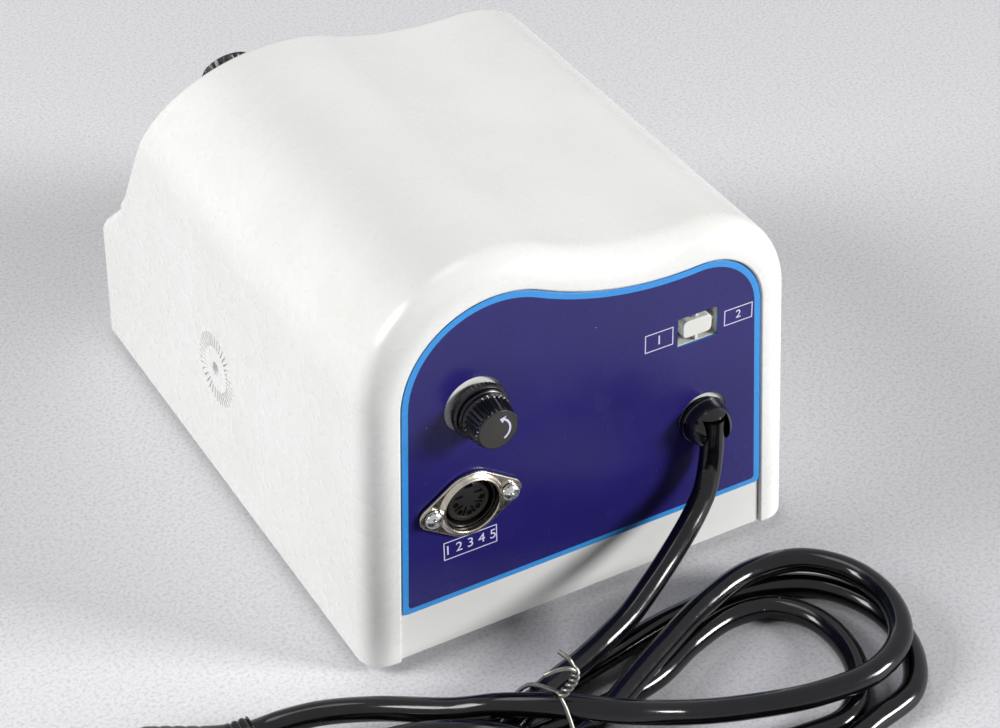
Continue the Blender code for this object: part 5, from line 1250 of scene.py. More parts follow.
@dataclass
class Casing:
    """The humped shell: drafted sides, a leaning fascia and a low toe."""

    half_width: float = 0.0656
    depth: float = 0.1843
    wall: float = 0.0025
    draft: float = math.radians(2.44)
    hump_top: float = 0.1156
    hump_radius: float = 0.0372
    shoulder_top: float = 0.1041
    shoulder_radius: float = 0.0277
    valley_radius: float = 0.0803
    rim_width: float = 0.0097
    rim_fillet: float = 0.0075
    rim_edge: float = 0.0007
    fascia_fillet: float = 0.0020
    toe_height: float = 0.0545
    toe_length: float = 0.0236
    toe_round: float = 0.0080
    toe_slope: float = math.radians(40.0)
    toe_corner: float = 0.0080
    side_round: float = 0.0040
    vent_height: float = 0.0378
    vent_setback: float = 0.0939
    vent_radius: float = 0.0111
    vent_inner: float = 0.0069
    vent_slot: float = 0.0006
    vent_slots: int = 36
    vent_hole: float = 0.0022
    vent_depth: float = 0.0005
    round_steps: int = 6
    corner_shares: tuple[float, ...] = (1.0, 0.9, 0.77, 0.64, 0.5)
    low_shares: tuple[float, ...] = (0.0, 0.35, 0.7)
    up_shares: tuple[float, ...] = (0.1, 0.25, 0.45, 0.7)

    def side_x(self, height: float, inset: float = 0.0) -> float:
        """Half width of the drafted side at a height, less an inset square to it."""
        return self.half_width - height * math.tan(self.draft) - inset / math.cos(self.draft)

    def arc_x(self, radius: float, height: float) -> float:
        """Where an arc of the top sits to run into the drafted side."""
        return self.half_width - (radius + height * math.sin(self.draft)) / math.cos(self.draft)

    @property
    def hump(self) -> Vector:
        """Centre of the hump's arc, as (x, z)."""
        height = self.hump_top - self.hump_radius
        return Vector((self.arc_x(self.hump_radius, height), height))

    @property
    def shoulder(self) -> Vector:
        """Centre of the shoulder's arc, as (x, z)."""
        height = self.shoulder_top - self.shoulder_radius
        return Vector((-self.arc_x(self.shoulder_radius, height), height))

    @property
    def valley(self) -> Vector:
        """Centre of the hollow arc that touches hump and shoulder."""
        near, far = self.hump_radius + self.valley_radius, self.shoulder_radius + self.valley_radius
        span = self.shoulder - self.hump
        along = (near**2 - far**2 + span.length**2) / (2 * span.length)
        across = math.sqrt(near**2 - along**2)
        way = span.normalized()
        return self.hump + way * along + Vector((way.y, -way.x)) * across

    def toe_foot(self, skin: float) -> Vector:
        """Where a skin's fascia meets its toe.

        Args:
            skin: The skin's inset, 0 or the wall.

        Returns:
            The corner, as (y, z).
        """
        across = skin / math.cos(LEAN + self.toe_slope)
        y = self.toe_length - self.depth + across * (math.cos(self.toe_slope) - math.sin(LEAN))
        return Vector((y, self.toe_height - across * (math.cos(LEAN) - math.sin(self.toe_slope))))

    def top_line(self, inset: float = 0.0, steps: Triple = (34, 16, 26)) -> list[Vector]:
        """The top's line from the +X tangent point to the -X one.

        Args:
            inset: How far inside the outer skin it runs.
            steps: Parts of the hump, the valley and the shoulder.

        Returns:
            (x, z) points.
        """
        hump, shoulder, valley = self.hump, self.shoulder, self.valley
        to_hump, to_shoulder = valley - hump, valley - shoulder
        first = math.atan2(to_hump.y, to_hump.x)
        second = math.atan2(to_shoulder.y, to_shoulder.x)
        arcs = (
            (hump, self.hump_radius - inset, self.draft, first),
            (valley, self.valley_radius + inset, first - math.pi, second - math.pi),
            (shoulder, self.shoulder_radius - inset, second, math.pi - self.draft),
        )
        line: list[Vector] = []
        for (centre, radius, start, end), count in zip(arcs, steps):
            turn = (end - start) / count
            part = [centre + radius * Vector((math.cos(start + turn * i), math.sin(start + turn * i)))
                    for i in range(int(count) + 1)]
            line += part[1:] if line else part
        return line

    def opening(self, inset: float, bottom: float, corner: float = 0.0) -> list[Pair]:
        """The rear opening's outline, for plates that lie in it.

        Args:
            inset: How far inside the outer skin it runs.
            bottom: Height of its lower edge.
            corner: Reach of its lower corners' rounds.

        Returns:
            Points in the rear face's axes.
        """
        top = [(-p.x, p.y) for p in self.top_line(inset)]
        edge = self.side_x(bottom, inset)
        ends = [top[-1], (edge, bottom), (-edge, bottom), top[0]]
        return top + (eased(ends, corner)[1:-1] if corner else ends[1:-1])

    def ring(self, inset: Any, depth_at: Any, skin: float) -> list[Vector]:
        """A full ring of the shell over the toe's height and the top.

        Args:
            inset: Gives the inset at a height.
            depth_at: Gives Y at a height.
            skin: The skin's own inset, 0 or the wall.

        Returns:
            The ring's points from one lower edge to the other.
        """
        shelf = self.toe_foot(skin).y
        side_round = self.side_round - min(skin, self.side_round / 2)
        start = shelf - side_round
        low = [share * start for share in self.low_shares]
        low += [start + side_round * math.sin(i * math.pi / 2 / self.round_steps)
                for i in range(self.round_steps + 1)]
        hump, shoulder = self.hump, self.shoulder
        level = inset(hump.y)
        right = hump.y + (self.hump_radius - level) * math.sin(self.draft)
        left = shoulder.y + (self.shoulder_radius - level) * math.sin(self.draft)
        up_right = [shelf + share * (right - shelf) for share in self.up_shares]
        up_left = [shelf + share * (left - shelf) for share in self.up_shares]
        points = [(self.side_x(z, inset(z)), z) for z in low + up_right]
        points += [tuple(p) for p in self.top_line(level)]
        points += [(-self.side_x(z, inset(z)), z) for z in reversed(low + up_left)]
        return [Vector((x, depth_at(z), z)) for x, z in points]

    def rear_rings(self, skin: float) -> list[list[Vector]]:
        """The eased inner edge of the rim, the rim and its fillet."""
        rings = []
        if skin:
            rings.append(self.ring(lambda z: self.rim_width, lambda z: -skin, skin))
            rings += [rings[0]] * 4
        else:
            for i in range(5):
                angle = i * math.pi / 8
                inset = self.rim_width - self.rim_edge * (1 - math.cos(angle))
                y = -self.rim_edge * (1 - math.sin(angle))
                rings.append(self.ring(lambda z, v=inset: v, lambda z, v=y: v, skin))
        radius, steps = self.rim_fillet - skin, 10
        for i in range(steps + 1):
            angle = i * math.pi / 2 / steps
            inset = self.rim_fillet - radius * math.sin(angle)
            y = -skin - radius * (1 - math.cos(angle))
            rings.append(self.ring(lambda z, v=inset: v, lambda z, v=y: v, skin))
        last = -skin - radius - 0.0008
        rings.append(self.ring(lambda z: skin, lambda z: last, skin))
        return rings

    def fascia_rings(self, skin: float) -> list[list[Vector]]:
        """The fillet round the fascia, which fades out where the toe begins."""
        face, shelf = self.toe_foot(skin)
        side_round = self.side_round - min(skin, self.side_round / 2)
        radius, steps, rings = self.fascia_fillet - skin / 2, 7, []
        for i in range(-1, steps + 1):
            angle = max(i, 0) * math.pi / 2 / steps
            drop, back = radius * (1 - math.cos(angle)), radius * (1 - math.sin(angle))
            back += 0.0008 * (i < 0)

            def inset(z: float, drop: float = drop) -> float:
                """The fillet's inset, faded towards the toe."""
                fade = min(max((z - shelf) / (3 * radius), 0.0), 1.0)
                return skin + drop * fade

            def depth(z: float, back: float = back) -> float:
                """The leaning face's Y, less the fillet."""
                rise = (max(z, shelf) - shelf) * math.tan(LEAN)
                step = FIT * min(max((shelf - z) / side_round, 0.0), 1.0)
                return face + rise + back + step

            rings.append(self.ring(inset, depth, skin))
        return rings

    def toe_ring(self, y: float, drop: float, narrow: float, count: int, skin: float) -> list[Vector]:
        """A ring of the toe, level on top with rounded sides."""
        top = self.toe_foot(skin).y - drop
        side_round = self.side_round - min(skin, self.side_round / 2)
        start = top - side_round
        points = [(self.side_x(share * start, skin + narrow), share * start) for share in self.low_shares]
        for i in range(self.round_steps + 1):
            angle = i * math.pi / 2 / self.round_steps
            z = start + side_round * math.sin(angle)
            points.append((self.side_x(z, skin + narrow) - side_round * (1 - math.cos(angle)), z))
        edge = points[-1][0]
        spread = [(edge * (1 - 2 * (i + 1) / (count + 1)), top) for i in range(count)]
        return [Vector((x, y, z)) for x, z in points + spread + [(-x, z) for x, z in reversed(points)]]

    def toe_rings(self, count: int, skin: float) -> list[list[Vector]]:
        """The toe from the fascia's foot down its slope and round its front edge."""
        radius, corner, steps = self.toe_round - skin, self.toe_corner - skin, 10
        front, foot = -self.depth + skin, self.toe_foot(skin).x
        slope, turn = math.tan(self.toe_slope), math.pi / 2 - self.toe_slope
        centre = (foot - front) * slope + radius * math.tan(turn / 2)
        places = [(foot, 0.0)]
        places += [(front + corner * s, (foot - front - corner * s) * slope) for s in self.corner_shares]
        for i in range(steps + 1):
            angle = turn * (1 - i / steps)
            places.append((front + radius * (1 - math.cos(angle)), centre - radius * math.sin(angle)))
        rings = []
        for y, drop in places:
            into = max(front + corner - y, 0.0)
            narrow = corner - math.sqrt(max(corner**2 - into**2, 0.0))
            rings.append(self.toe_ring(y, drop, narrow, count, skin))
        return rings

    def mesh(self) -> bmesh.types.BMesh:
        """Both skins of the shell, joined along their free edges.

        Returns:
            The mesh.
        """
        mesh, sheets = bmesh.new(), []
        kept = len(self.low_shares) + self.round_steps + 1
        for skin in (0.0, self.wall):
            rings = self.rear_rings(skin) + self.fascia_rings(skin)
            rings += self.toe_rings(len(rings[0]) - 2 * kept, skin)
            if skin:
                rings = [rings[0]] + rings[5:]
            rows = [[mesh.verts.new(point) for point in ring] for ring in rings]
            for one, other in zip(rows, rows[1:]):
                for i in range(len(one) - 1):
                    mesh.faces.new((one[i], one[i + 1], other[i + 1], other[i]))
            mesh.faces.new(rows[-1])
            sheets.append(rows)
        outer, inner = sheets
        for i in range(len(outer[0]) - 1):
            mesh.faces.new((outer[0][i], outer[0][i + 1], inner[0][i + 1], inner[0][i]))
        for end in (0, -1):
            line = [row[end] for row in outer] + [row[end] for row in reversed(inner)]
            mesh.faces.new(line)
        mesh.faces.new((outer[-1][0], outer[-1][-1], inner[-1][-1], inner[-1][0]))
        return mesh

    def vent_tool(self, side: int) -> bpy.types.Object:
        """A cutter for one side's vent: fine radial slots and a middle hole.

        Args:
            side: 1 for the +X side, -1 for the other.

        Returns:
            The cutter.
        """
        mesh, depth, top = bmesh.new(), self.vent_depth, 0.001
        turned([(0, -3 * depth), (self.vent_hole, -3 * depth), (self.vent_hole, top), (0, top)], 32, mesh)
        for i in range(self.vent_slots):
            angle = 2 * math.pi * i / self.vent_slots
            c, s = math.cos(angle), math.sin(angle)
            middle = ((self.vent_inner + self.vent_radius) / 2, 0.0)
            bar = rectangle(self.vent_radius - self.vent_inner, self.vent_slot, middle)
            lofted([[(c * x - s * y, s * x + c * y, z) for x, y in bar] for z in (-depth, top)], mesh)
        spot = Matrix.Translation((side * self.side_x(self.vent_height), -self.vent_setback, self.vent_height))
        turn = Matrix.Rotation(side * (math.pi / 2 - self.draft), 4, "Y")
        return shape("vent_tool", mesh, CASE @ spot @ turn, ABS_WHITE)

    def build(self, holes: Sequence[bpy.types.Object]) -> None:
        """Builds the shell.

        Args:
            holes: Cutters for what passes through the shell.
        """
        shell = shape("casing_moulding", self.mesh(), CASE, ABS_WHITE, 30)
        carve(shell, self.vent_tool(1), self.vent_tool(-1), *holes)
        settle(shell, Body.BOX, Slot.ABS, "casing_shell")


@dataclass
class CrossScrew:
    """A pan-head screw with a cross recess."""

    radius: float = 0.0014
    head: float = 0.0025
    head_height: float = 0.0018
    length: float = 0.0080
    arm: float = 0.0030
    slot: float = 0.0007
    slot_depth: float = 0.0009
    turn: float = 0.0

    def build(self, name: str, place: Matrix, node: str) -> None:
        """Builds the screw where its head's seat is.

        Args:
            name: The piece's name.
            place: The seat, with Z out of it.
            node: The CAD node that it stands for.
        """
        top, head = self.head_height, self.head
        profile = [(0, -self.length), (self.radius, -self.length), (self.radius, 0), (head, 0)]
        dome = [(head, top * 0.35)]
        for i in range(1, 8):
            angle = i * math.pi / 14
            dome.append((head * math.cos(angle), top * (0.35 + 0.65 * math.sin(angle))))
        dome[-1] = (0, top)
        spun = place @ Matrix.Rotation(self.turn, 4, "Z")
        screw = shape(name, turned(profile + dome, 40), spun, ZINC)
        low, high = top - self.slot_depth, top + self.head
        tools = [
            block(f"{name}_recess", w, h, low, high, spun, ZINC)
            for w, h in ((self.arm, self.slot), (self.slot, self.arm))
        ]
        middle = [(0, low - 0.0003), (0.0003, low - 0.0003), (0.0008, top), (0.0008, high), (0, high)]
        tools.append(shape(f"{name}_point", turned(middle, 16), spun, ZINC))
        carve(screw, *tools)
        settle(screw, Body.BOX, Slot.ZINC, node)


@dataclass
class RearLabel:
    """The printed film on the rear plate: violet field, light blue border."""

    casing: Casing
    thickness: float = 0.0004
    bottom: float = 0.0150
    border: float = 0.00175
    ink: float = 0.00004
    holes: tuple[tuple[Pair, float], ...] = (
        ((-0.0322, 0.0753), 0.0084),
        ((0.0357, 0.0452), 0.0073),
        ((-0.0346, 0.0451), 0.0087),
        ((-0.0235, 0.0451), 0.0016),
        ((-0.0457, 0.0451), 0.0016),
    )
    window: tuple[Pair, Pair] = ((0.0122, 0.0089), (0.0333, 0.0750))
    boxes: tuple[tuple[str, Pair, Pair], ...] = (
        ("1", (0.0173, 0.0723), (0.0258, 0.0779)),
        ("2", (0.0413, 0.0722), (0.0500, 0.0771)),
        ("1 2 3 4 5", (-0.0424, 0.0286), (-0.0268, 0.0345)),
    )
    line: float = 0.00028

    def build(self) -> None:
        """Builds the film, its ink and the boxed figures."""
        inset = self.casing.rim_width + FIT
        cuts = [circle(radius, centre) for centre, radius in self.holes]
        cuts.append(rectangle(*self.window[0], self.window[1]))
        outer = self.casing.opening(inset, self.bottom, 0.0016)
        film = plate("rear_label_film", [outer, *cuts], -self.thickness, 0.0, REAR, INK_BLUE, 0.00008)
        settle(film, Body.BOX, Slot.PRINT, "rear_label")
        inner = self.casing.opening(inset + self.border, self.bottom + self.border, 0.0012)
        field_piece = plate("rear_label_field", [inner, *cuts], 0.0, self.ink, REAR, INK_VIOLET)
        settle(field_piece, Body.BOX, Slot.PRINT)
        for i, (figures, low, high) in enumerate(self.boxes):
            centre = ((low[0] + high[0]) / 2, (low[1] + high[1]) / 2)
            width, height = high[0] - low[0], high[1] - low[1]
            outlines = [rectangle(width, height, centre),
                        rectangle(width - 2 * self.line, height - 2 * self.line, centre)]
            box = plate(f"rear_label_box_{i + 1}", outlines, self.ink, 1.6 * self.ink, REAR, INK_WHITE)
            settle(box, Body.BOX, Slot.PRINT)
            figure = lettering(f"rear_label_figure_{i + 1}", figures, height * 0.72, centre, 1.5 * self.ink, REAR)
            settle(figure, Body.BOX, Slot.PRINT)


@dataclass
class PedalSocket:
    """The five-way round socket with its two-eared flange and screws."""

    centre: Pair = (-0.0346, 0.0451)
    pitch: float = 0.0111
    flange_radius: float = 0.0099
    ear: float = 0.0036
    flange: float = 0.0010
    bore: float = 0.0077
    tube: float = 0.0081
    depth: float = 0.0090
    core: float = 0.0060
    groove: float = 0.0065
    contact_ring: float = 0.0037
    contact: float = 0.0008
    contacts: int = 5

    def outline(self) -> list[Pair]:
        """The flange's outline: a round middle drawn out to two ears."""
        lean = math.asin((self.flange_radius - self.ear) / self.pitch)
        quarter, points = math.pi / 2, []
        for centre, size, start, end in (
            (self.pitch, self.ear, -quarter + lean, quarter - lean),
            (0.0, self.flange_radius, quarter - lean, quarter + lean),
            (-self.pitch, self.ear, quarter + lean, 3 * quarter - lean),
            (0.0, self.flange_radius, 3 * quarter - lean, 3 * quarter + lean),
        ):
            for i in range(15):
                angle = start + (end - start) * i / 14
                points.append((centre + size * math.cos(angle), size * math.sin(angle)))
        return points

    def build(self) -> None:
        """Builds flange and shell, core, contacts and screws."""
        place = REAR @ Matrix.Translation((*self.centre, 0))
        seat_at, top = FIT, FIT + self.flange
        holes = [circle((self.bore + self.tube) / 2), *(circle(0.0016, (w * self.pitch, 0), 24) for w in (1, -1))]
        flange = plate("pedal_socket_ears", [self.outline(), *holes], seat_at, top, place, NICKEL, 0.00035)
        settle(flange, Body.BOX, Slot.NICKEL, "pedal_socket_flange")
        bore, tube = self.bore, self.tube
        lip = [(tube + 0.0016, top - 0.0003), (tube + 0.0011, top + 0.0001), (tube + 0.0006, top + 0.0004),
               (tube + 0.0003, top + 0.0008), (tube, top + 0.0010), (bore + 0.0001, top + 0.0009),
               (bore, top + 0.0005)]
        rolled = eased([(bore, -self.depth), (tube, -self.depth), (tube, seat_at), *lip], 0.0003)
        shell = shape("pedal_socket_shell", turned(rolled, 72), place, NICKEL, 50)
        settle(shell, Body.BOX, Slot.NICKEL)
        self.build_core(place)
        for name, way, turn in (("left", -1, 0.4), ("right", 1, 1.0)):
            spot = place @ Matrix.Translation((way * self.pitch, 0, top + FIT))
            CrossScrew(length=0.0080 + top, turn=turn).build(f"pedal_screw_{name}", spot, f"pedal_socket_screw_{name}")

    def build_core(self, place: Matrix) -> None:
        """The black core with its pin holes, key and sprung contacts.

        Args:
            place: The socket's axis on the rear face.
        """
        outer, core, wall = self.bore - FIT, self.core, 0.0004
        profile = [(0, -self.depth), (outer, -self.depth), (outer, FIT), (outer - wall, FIT),
                   (outer - wall, -self.groove), (core, -self.groove), (core, -0.0004),
                   (core - 0.0004, 0.0), (core - 0.0012, 0.0), (core - 0.0014, -0.0003), (0, -0.0003)]
        made = shape("pedal_socket_core", turned(profile, 64), place, BLACK_MATT, 30)
        tools = []
        for i in range(self.contacts):
            angle = math.pi + i * math.pi / (self.contacts - 1)
            spot = place @ Matrix.Translation((self.contact_ring * math.cos(angle), self.contact_ring * math.sin(angle), 0))
            hole = [(0, -0.005), (self.contact, -0.005), (self.contact, -0.0008), (self.contact + 0.0003, 0.001), (0, 0.001)]
            tools.append(shape(f"contact_tool_{i}", turned(hole, 24), spot, BLACK_MATT))
            ring = [(0.0004, -0.0045), (0.0007, -0.0045), (0.0007, -0.0014), (0.0004, -0.0014)]
            spring = shape(f"pedal_socket_contact_{i + 1}", turned(ring, 20), spot, BRASS)
            settle(spring, Body.BOX, Slot.NICKEL)
        for i in range(self.contacts - 1):
            angle = math.pi + (i + 0.5) * math.pi / (self.contacts - 1)
            spoke = place @ Matrix.Rotation(angle, 4, "Z")
            tools.append(block(f"spoke_tool_{i}", 0.0026, 0.0006, -0.0011, 0.001, spoke, BLACK_MATT, (0.0031, 0)))
        tools.append(block("key_tool", 0.0022, 0.0018, -0.005, 0.001, place, BLACK_MATT, (0, core - 0.0007)))
        for way in (1, -1):
            tools.append(block(f"side_tool_{way}", 0.0022, 0.0007, -0.0012, 0.001, place, BLACK_MATT, (way * 0.0028, 0.0022)))
        carve(made, *tools)
        settle(made, Body.BOX, Slot.BLACK, "pedal_socket_insert")


@dataclass
class FuseHolder:
    """The panel fuse holder: flange, ribbed screw cap and glass fuse."""

    centre: Pair = (-0.0312, 0.0740)
    proud: float = 0.0105
    flange_radius: float = 0.0079
    flange: float = 0.0020
    barrel: float = 0.0062
    barrel_length: float = 0.0290
    bore: float = 0.0038
    cap_radius: float = 0.0071
    cap_tip: float = 0.0060
    cap_face: float = 0.0055
    ribs: int = 28
    rib_depth: float = 0.0005
    stem: float = 0.0034
    stem_bore: float = 0.0028
    tube: float = 0.0026
    tube_length: float = 0.0200

    def build(self) -> None:
        """Builds the holder's body, its cap with the turn arrow, and the fuse."""
        place = REAR @ Matrix.Translation((*self.centre, 0))
        seat_at, top = FIT, FIT + self.flange
        wide = self.flange_radius
        body = [(0, -self.barrel_length), (self.barrel, -self.barrel_length), (self.barrel, seat_at),
                (wide - 0.0004, seat_at), (wide - 0.0004, top), (self.bore, top), (self.bore, -0.0240), (0, -0.0240)]
        holder = shape("fuse_holder_barrel", turned(eased(body, 0.00025)), place, BLACK_RIBBED, 60)
        settle(holder, Body.BOX, Slot.BLACK, "fuse_holder_body")
        edge = [(wide - 0.0006, seat_at, 0), (wide, seat_at + 0.0001, 0.6), (wide, top - 0.0006, 1),
                (wide - 0.0001, top - 0.0004, 0), (wide - 0.0003, top - 0.0001, 0), (wide - 0.0008, top + 0.00002, 0)]
        ring = shape("fuse_holder_knurl", ribbed(edge, 44, 0.00025, 6), place, BLACK_RIBBED, 40)
        middle = [(0, seat_at - 0.001), (wide - 0.0010, seat_at - 0.001), (wide - 0.0010, top + 0.001), (0, top + 0.001)]
        carve(ring, shape("knurl_tool", turned(middle), place, BLACK_RIBBED))
        settle(ring, Body.BOX, Slot.BLACK)
        low, high = top + FIT, self.proud
        cap = self.cap_radius
        rings = [
            (self.stem, low, 0), (cap - 0.0003, low, 0), (cap, low + 0.0002, 0), (cap, low + 0.0008, 0),
            (cap - 0.0002, low + 0.0010, 0), (cap - 0.0005, low + 0.0011, 0), (cap - 0.0005, low + 0.0013, 0),
            (cap - 0.0002, low + 0.0014, 0), (cap - 0.0002, low + 0.0020, 0), (cap - 0.0005, low + 0.0022, 0.4),
            (cap - 0.0005, low + 0.0024, 1), (self.cap_tip, high - 0.0010, 1), (self.cap_tip - 0.0002, high - 0.0006, 0.6),
            (self.cap_tip - 0.0004, high - 0.0002, 0), (self.cap_face - 0.0002, high, 0),
        ]
        made = shape("fuse_cap_ribbed", ribbed(rings, self.ribs, self.rib_depth), place, BLACK_RIBBED, 40)
        settle(made, Body.FUSE_CAP, Slot.BLACK, "fuse_cap")
        face = [(0, high - 0.0001), (0, high + 0.00003), (self.cap_face - 0.0003, high + 0.00003), (self.cap_face - 0.0001, high - 0.0001)]
        disc = shape("fuse_cap_face", turned(face), place, CAP_FACE)
        settle(disc, Body.FUSE_CAP, Slot.BLACK)
        self.build_arrow(place, high + 0.00004)
        tube = [(self.stem_bore, low - 0.0070), (self.stem, low - 0.0070), (self.stem, low + 0.0004), (self.stem_bore, low + 0.0004)]
        settle(shape("fuse_cap_stem", turned(eased(tube, 0.0002, True), 40), place, BLACK_RIBBED), Body.FUSE_CAP, Slot.BLACK)
        self.build_fuse(place, low - FIT)

    def build_arrow(self, place: Matrix, height: float) -> None:
        """The white arrow on the cap that says which way it turns.

        Args:
            place: The cap's axis.
            height: Height of its face.
        """
        radius, half, start, end = 0.0033, 0.00028, math.radians(-62), math.radians(58)
        steps = 24
        angles = [start + (end - start) * i / steps for i in range(steps + 1)]
        outer = [((radius + half) * math.cos(a), (radius + half) * math.sin(a)) for a in angles]
        inner = [((radius - half) * math.cos(a), (radius - half) * math.sin(a)) for a in reversed(angles)]
        head = []
        for reach, ahead in ((0.0011, 0.0), (0.0, 0.42), (-0.0011, 0.0)):
            angle = end + ahead
            head.append(((radius + reach) * math.cos(angle), (radius + reach) * math.sin(angle)))
        arrow = plate("fuse_cap_arrow", [outer + head + inner], height - 0.00002, height + 0.00003, place, INK_WHITE)
        settle(arrow, Body.FUSE_CAP, Slot.BLACK)

    def build_fuse(self, place: Matrix, top: float) -> None:
        """The glass fuse with its two end caps and its wire.

        Args:
            place: The holder's axis.
            top: Height of the fuse's outer end.
        """
        foot, cap, radius = top - self.tube_length, 0.0050, self.tube
        mesh = bmesh.new()
        for low, high in ((foot, foot + cap), (top - cap, top)):
            turned(eased([(0, low), (radius, low), (radius, high), (0, high)], 0.0003), 40, mesh)
        caps = shape("glass_fuse_caps", mesh, place, NICKEL_PIN)
        settle(caps, Body.FUSE, Slot.NICKEL, "fuse_link")
        wall = [(0.0018, foot + cap - 0.0005), (0.0023, foot + cap - 0.0005), (0.0023, top - cap + 0.0005), (0.0018, top - cap + 0.0005)]
        settle(shape("glass_fuse_tube", turned(wall, 40), place, GLASS), Body.FUSE, Slot.NICKEL)
        wire = [Vector((0.0002 * math.sin(i), 0.0002 * math.cos(i), foot + cap + (top - foot - 2 * cap) * i / 8)) for i in range(9)]
        settle(strand("glass_fuse_wire", wire, 0.00008, place, BRASS, 2), Body.FUSE, Slot.NICKEL)


@dataclass
class VoltageSelector:
    """The recessed mains voltage selector and its slider."""

    centre: Pair = (0.0333, 0.0750)
    width: float = 0.0122
    height: float = 0.0089
    face: float = -0.0007
    pocket: float = 0.0042
    rib: float = 0.0008
    slider: Pair = (0.0087, 0.0052)
    bar: Pair = (0.0122, 0.0014)

    def build(self) -> None:
        """Builds the housing, a black plate behind its pocket that paints the shade in it, and the slider."""
        place = REAR @ Matrix.Translation((*self.centre, 0))
        w, h, rib, reach = self.width / 2, self.height / 2, self.rib / 2, self.slider[1] / 2 + FIT
        inner = [(w, h), (rib, h), (rib, reach), (-rib, reach), (-rib, h), (-w, h), (-w, -h),
                 (-rib, -h), (-rib, -reach), (rib, -reach), (rib, -h), (w, -h)]
        outer = rectangle(0.0178, 0.0117)
        housing = plate("selector_frame", [outer, inner], self.face - self.pocket, self.face, place, IVORY_ABS, 0.00015)
        settle(housing, Body.BOX, Slot.IVORY, "selector_housing")
        # Painted shade: a black plate behind the pocket, where the recess is only in shade.
        back = plate("selector_painted_shade_floor", [rectangle(0.0242, 0.0181)], -0.0092, -0.0049, place, BLACK_MATT, 0.0002)
        settle(back, Body.BOX, Slot.IVORY)
        outline = rectangle(*self.slider, corner=0.0016)
        slider = plate("selector_slider_knob", [outline], -0.0046, -0.0002, place, IVORY_ABS, 0.00025)
        settle(slider, Body.VOLTAGE, Slot.IVORY, "selector_slider")
        bar = plate("selector_guide_bar", [rectangle(*self.bar, corner=0.0002)], -0.0042, -0.0016, place, IVORY_ABS, 0.0002)
        settle(bar, Body.BOX, Slot.IVORY)


@dataclass
class CordGland:
    """The right-angle cord gland: a glossy hood that the cord leaves downwards."""

    centre: Pair = (0.0354, 0.0446)
    flange_radius: float = 0.0070
    flange: float = 0.0014
    dome_radius: float = 0.0065
    dome_height: float = 0.0073
    channel: float = 0.0037
    cord_height: float = 0.0053
    lip: float = 0.0043

    def build(self) -> None:
        """Builds the flange and the hood with its channel."""
        place = REAR @ Matrix.Translation((*self.centre, 0))
        top = FIT + self.flange
        profile = [(0, -0.0100), (0.0060, -0.0100), (0.0060, FIT), (self.flange_radius - 0.0003, FIT),
                   (self.flange_radius, FIT + 0.0004), (self.flange_radius - 0.0001, top - 0.0003),
                   (self.dome_radius + 0.0001, top)]
        steps = 14
        for i in range(1, steps + 1):
            angle = i * math.pi / 2 / steps
            profile.append((self.dome_radius * math.cos(angle) ** 0.8 if i < steps else 0.0,
                            top + self.dome_height * math.sin(angle) ** 0.9))
        hood = shape("cord_gland_hood", turned(profile, 64), place, BLACK_GLOSSY, 40)
        reach = self.flange_radius + 0.002
        bore = [(0, -self.lip), (self.channel - 0.0006, -self.lip), (self.channel, -self.lip + 0.0006),
                (self.channel, reach), (0, reach)]
        down = place @ Matrix.Translation((0, 0, self.cord_height)) @ Matrix.Rotation(math.pi / 2, 4, "X")
        tool = shape("gland_bore_tool", turned(bore, 40), down, BLACK_GLOSSY)
        width = 2 * self.channel
        open_side = block("gland_side_tool", width, self.lip + reach, self.cord_height, self.cord_height + 0.01, place,
                          BLACK_GLOSSY, (0, (self.lip - reach) / 2))
        carve(hood, tool, open_side)
        soften(hood, 0.0005, 3, 40)
        settle(hood, Body.BOX, Slot.BLACK, "cord_gland")


@dataclass
class Foot:
    """A rubber foot and the screw that holds it."""

    spots: tuple[tuple[str, Pair], ...] = (
        ("front_left", (-0.0556, -0.1683)), ("front_right", (0.0556, -0.1683)),
        ("rear_left", (-0.0556, -0.0180)), ("rear_right", (0.0556, -0.0180)),
    )

    def build(self) -> None:
        """Builds the four feet with their screws."""
        low = -FOOT_RISE
        profile = eased([(0.0019, low + 0.0016), (0.0030, low + 0.0016), (0.0030, low), (0.0062, low),
                         (0.0070, -FIT), (0.0019, -FIT)], 0.0004, True)
        for name, (x, y) in self.spots:
            place = CASE @ Matrix.Translation((x, y, 0))
            foot = shape(f"rubber_foot_{name}", turned(profile, 48), place, RUBBER, 50)
            settle(foot, Body.BOX, Slot.RUBBER, f"foot_{name}")
            head = place @ Matrix.Translation((0, 0, low + 0.0013)) @ Matrix.Rotation(math.pi, 4, "X")
            screw = CrossScrew(radius=0.0013, head=0.0027, head_height=0.0010, length=0.0120, slot_depth=0.0007, turn=x * 40)
            screw.build(f"foot_screw_{name}", head, f"base_screw_{name}")


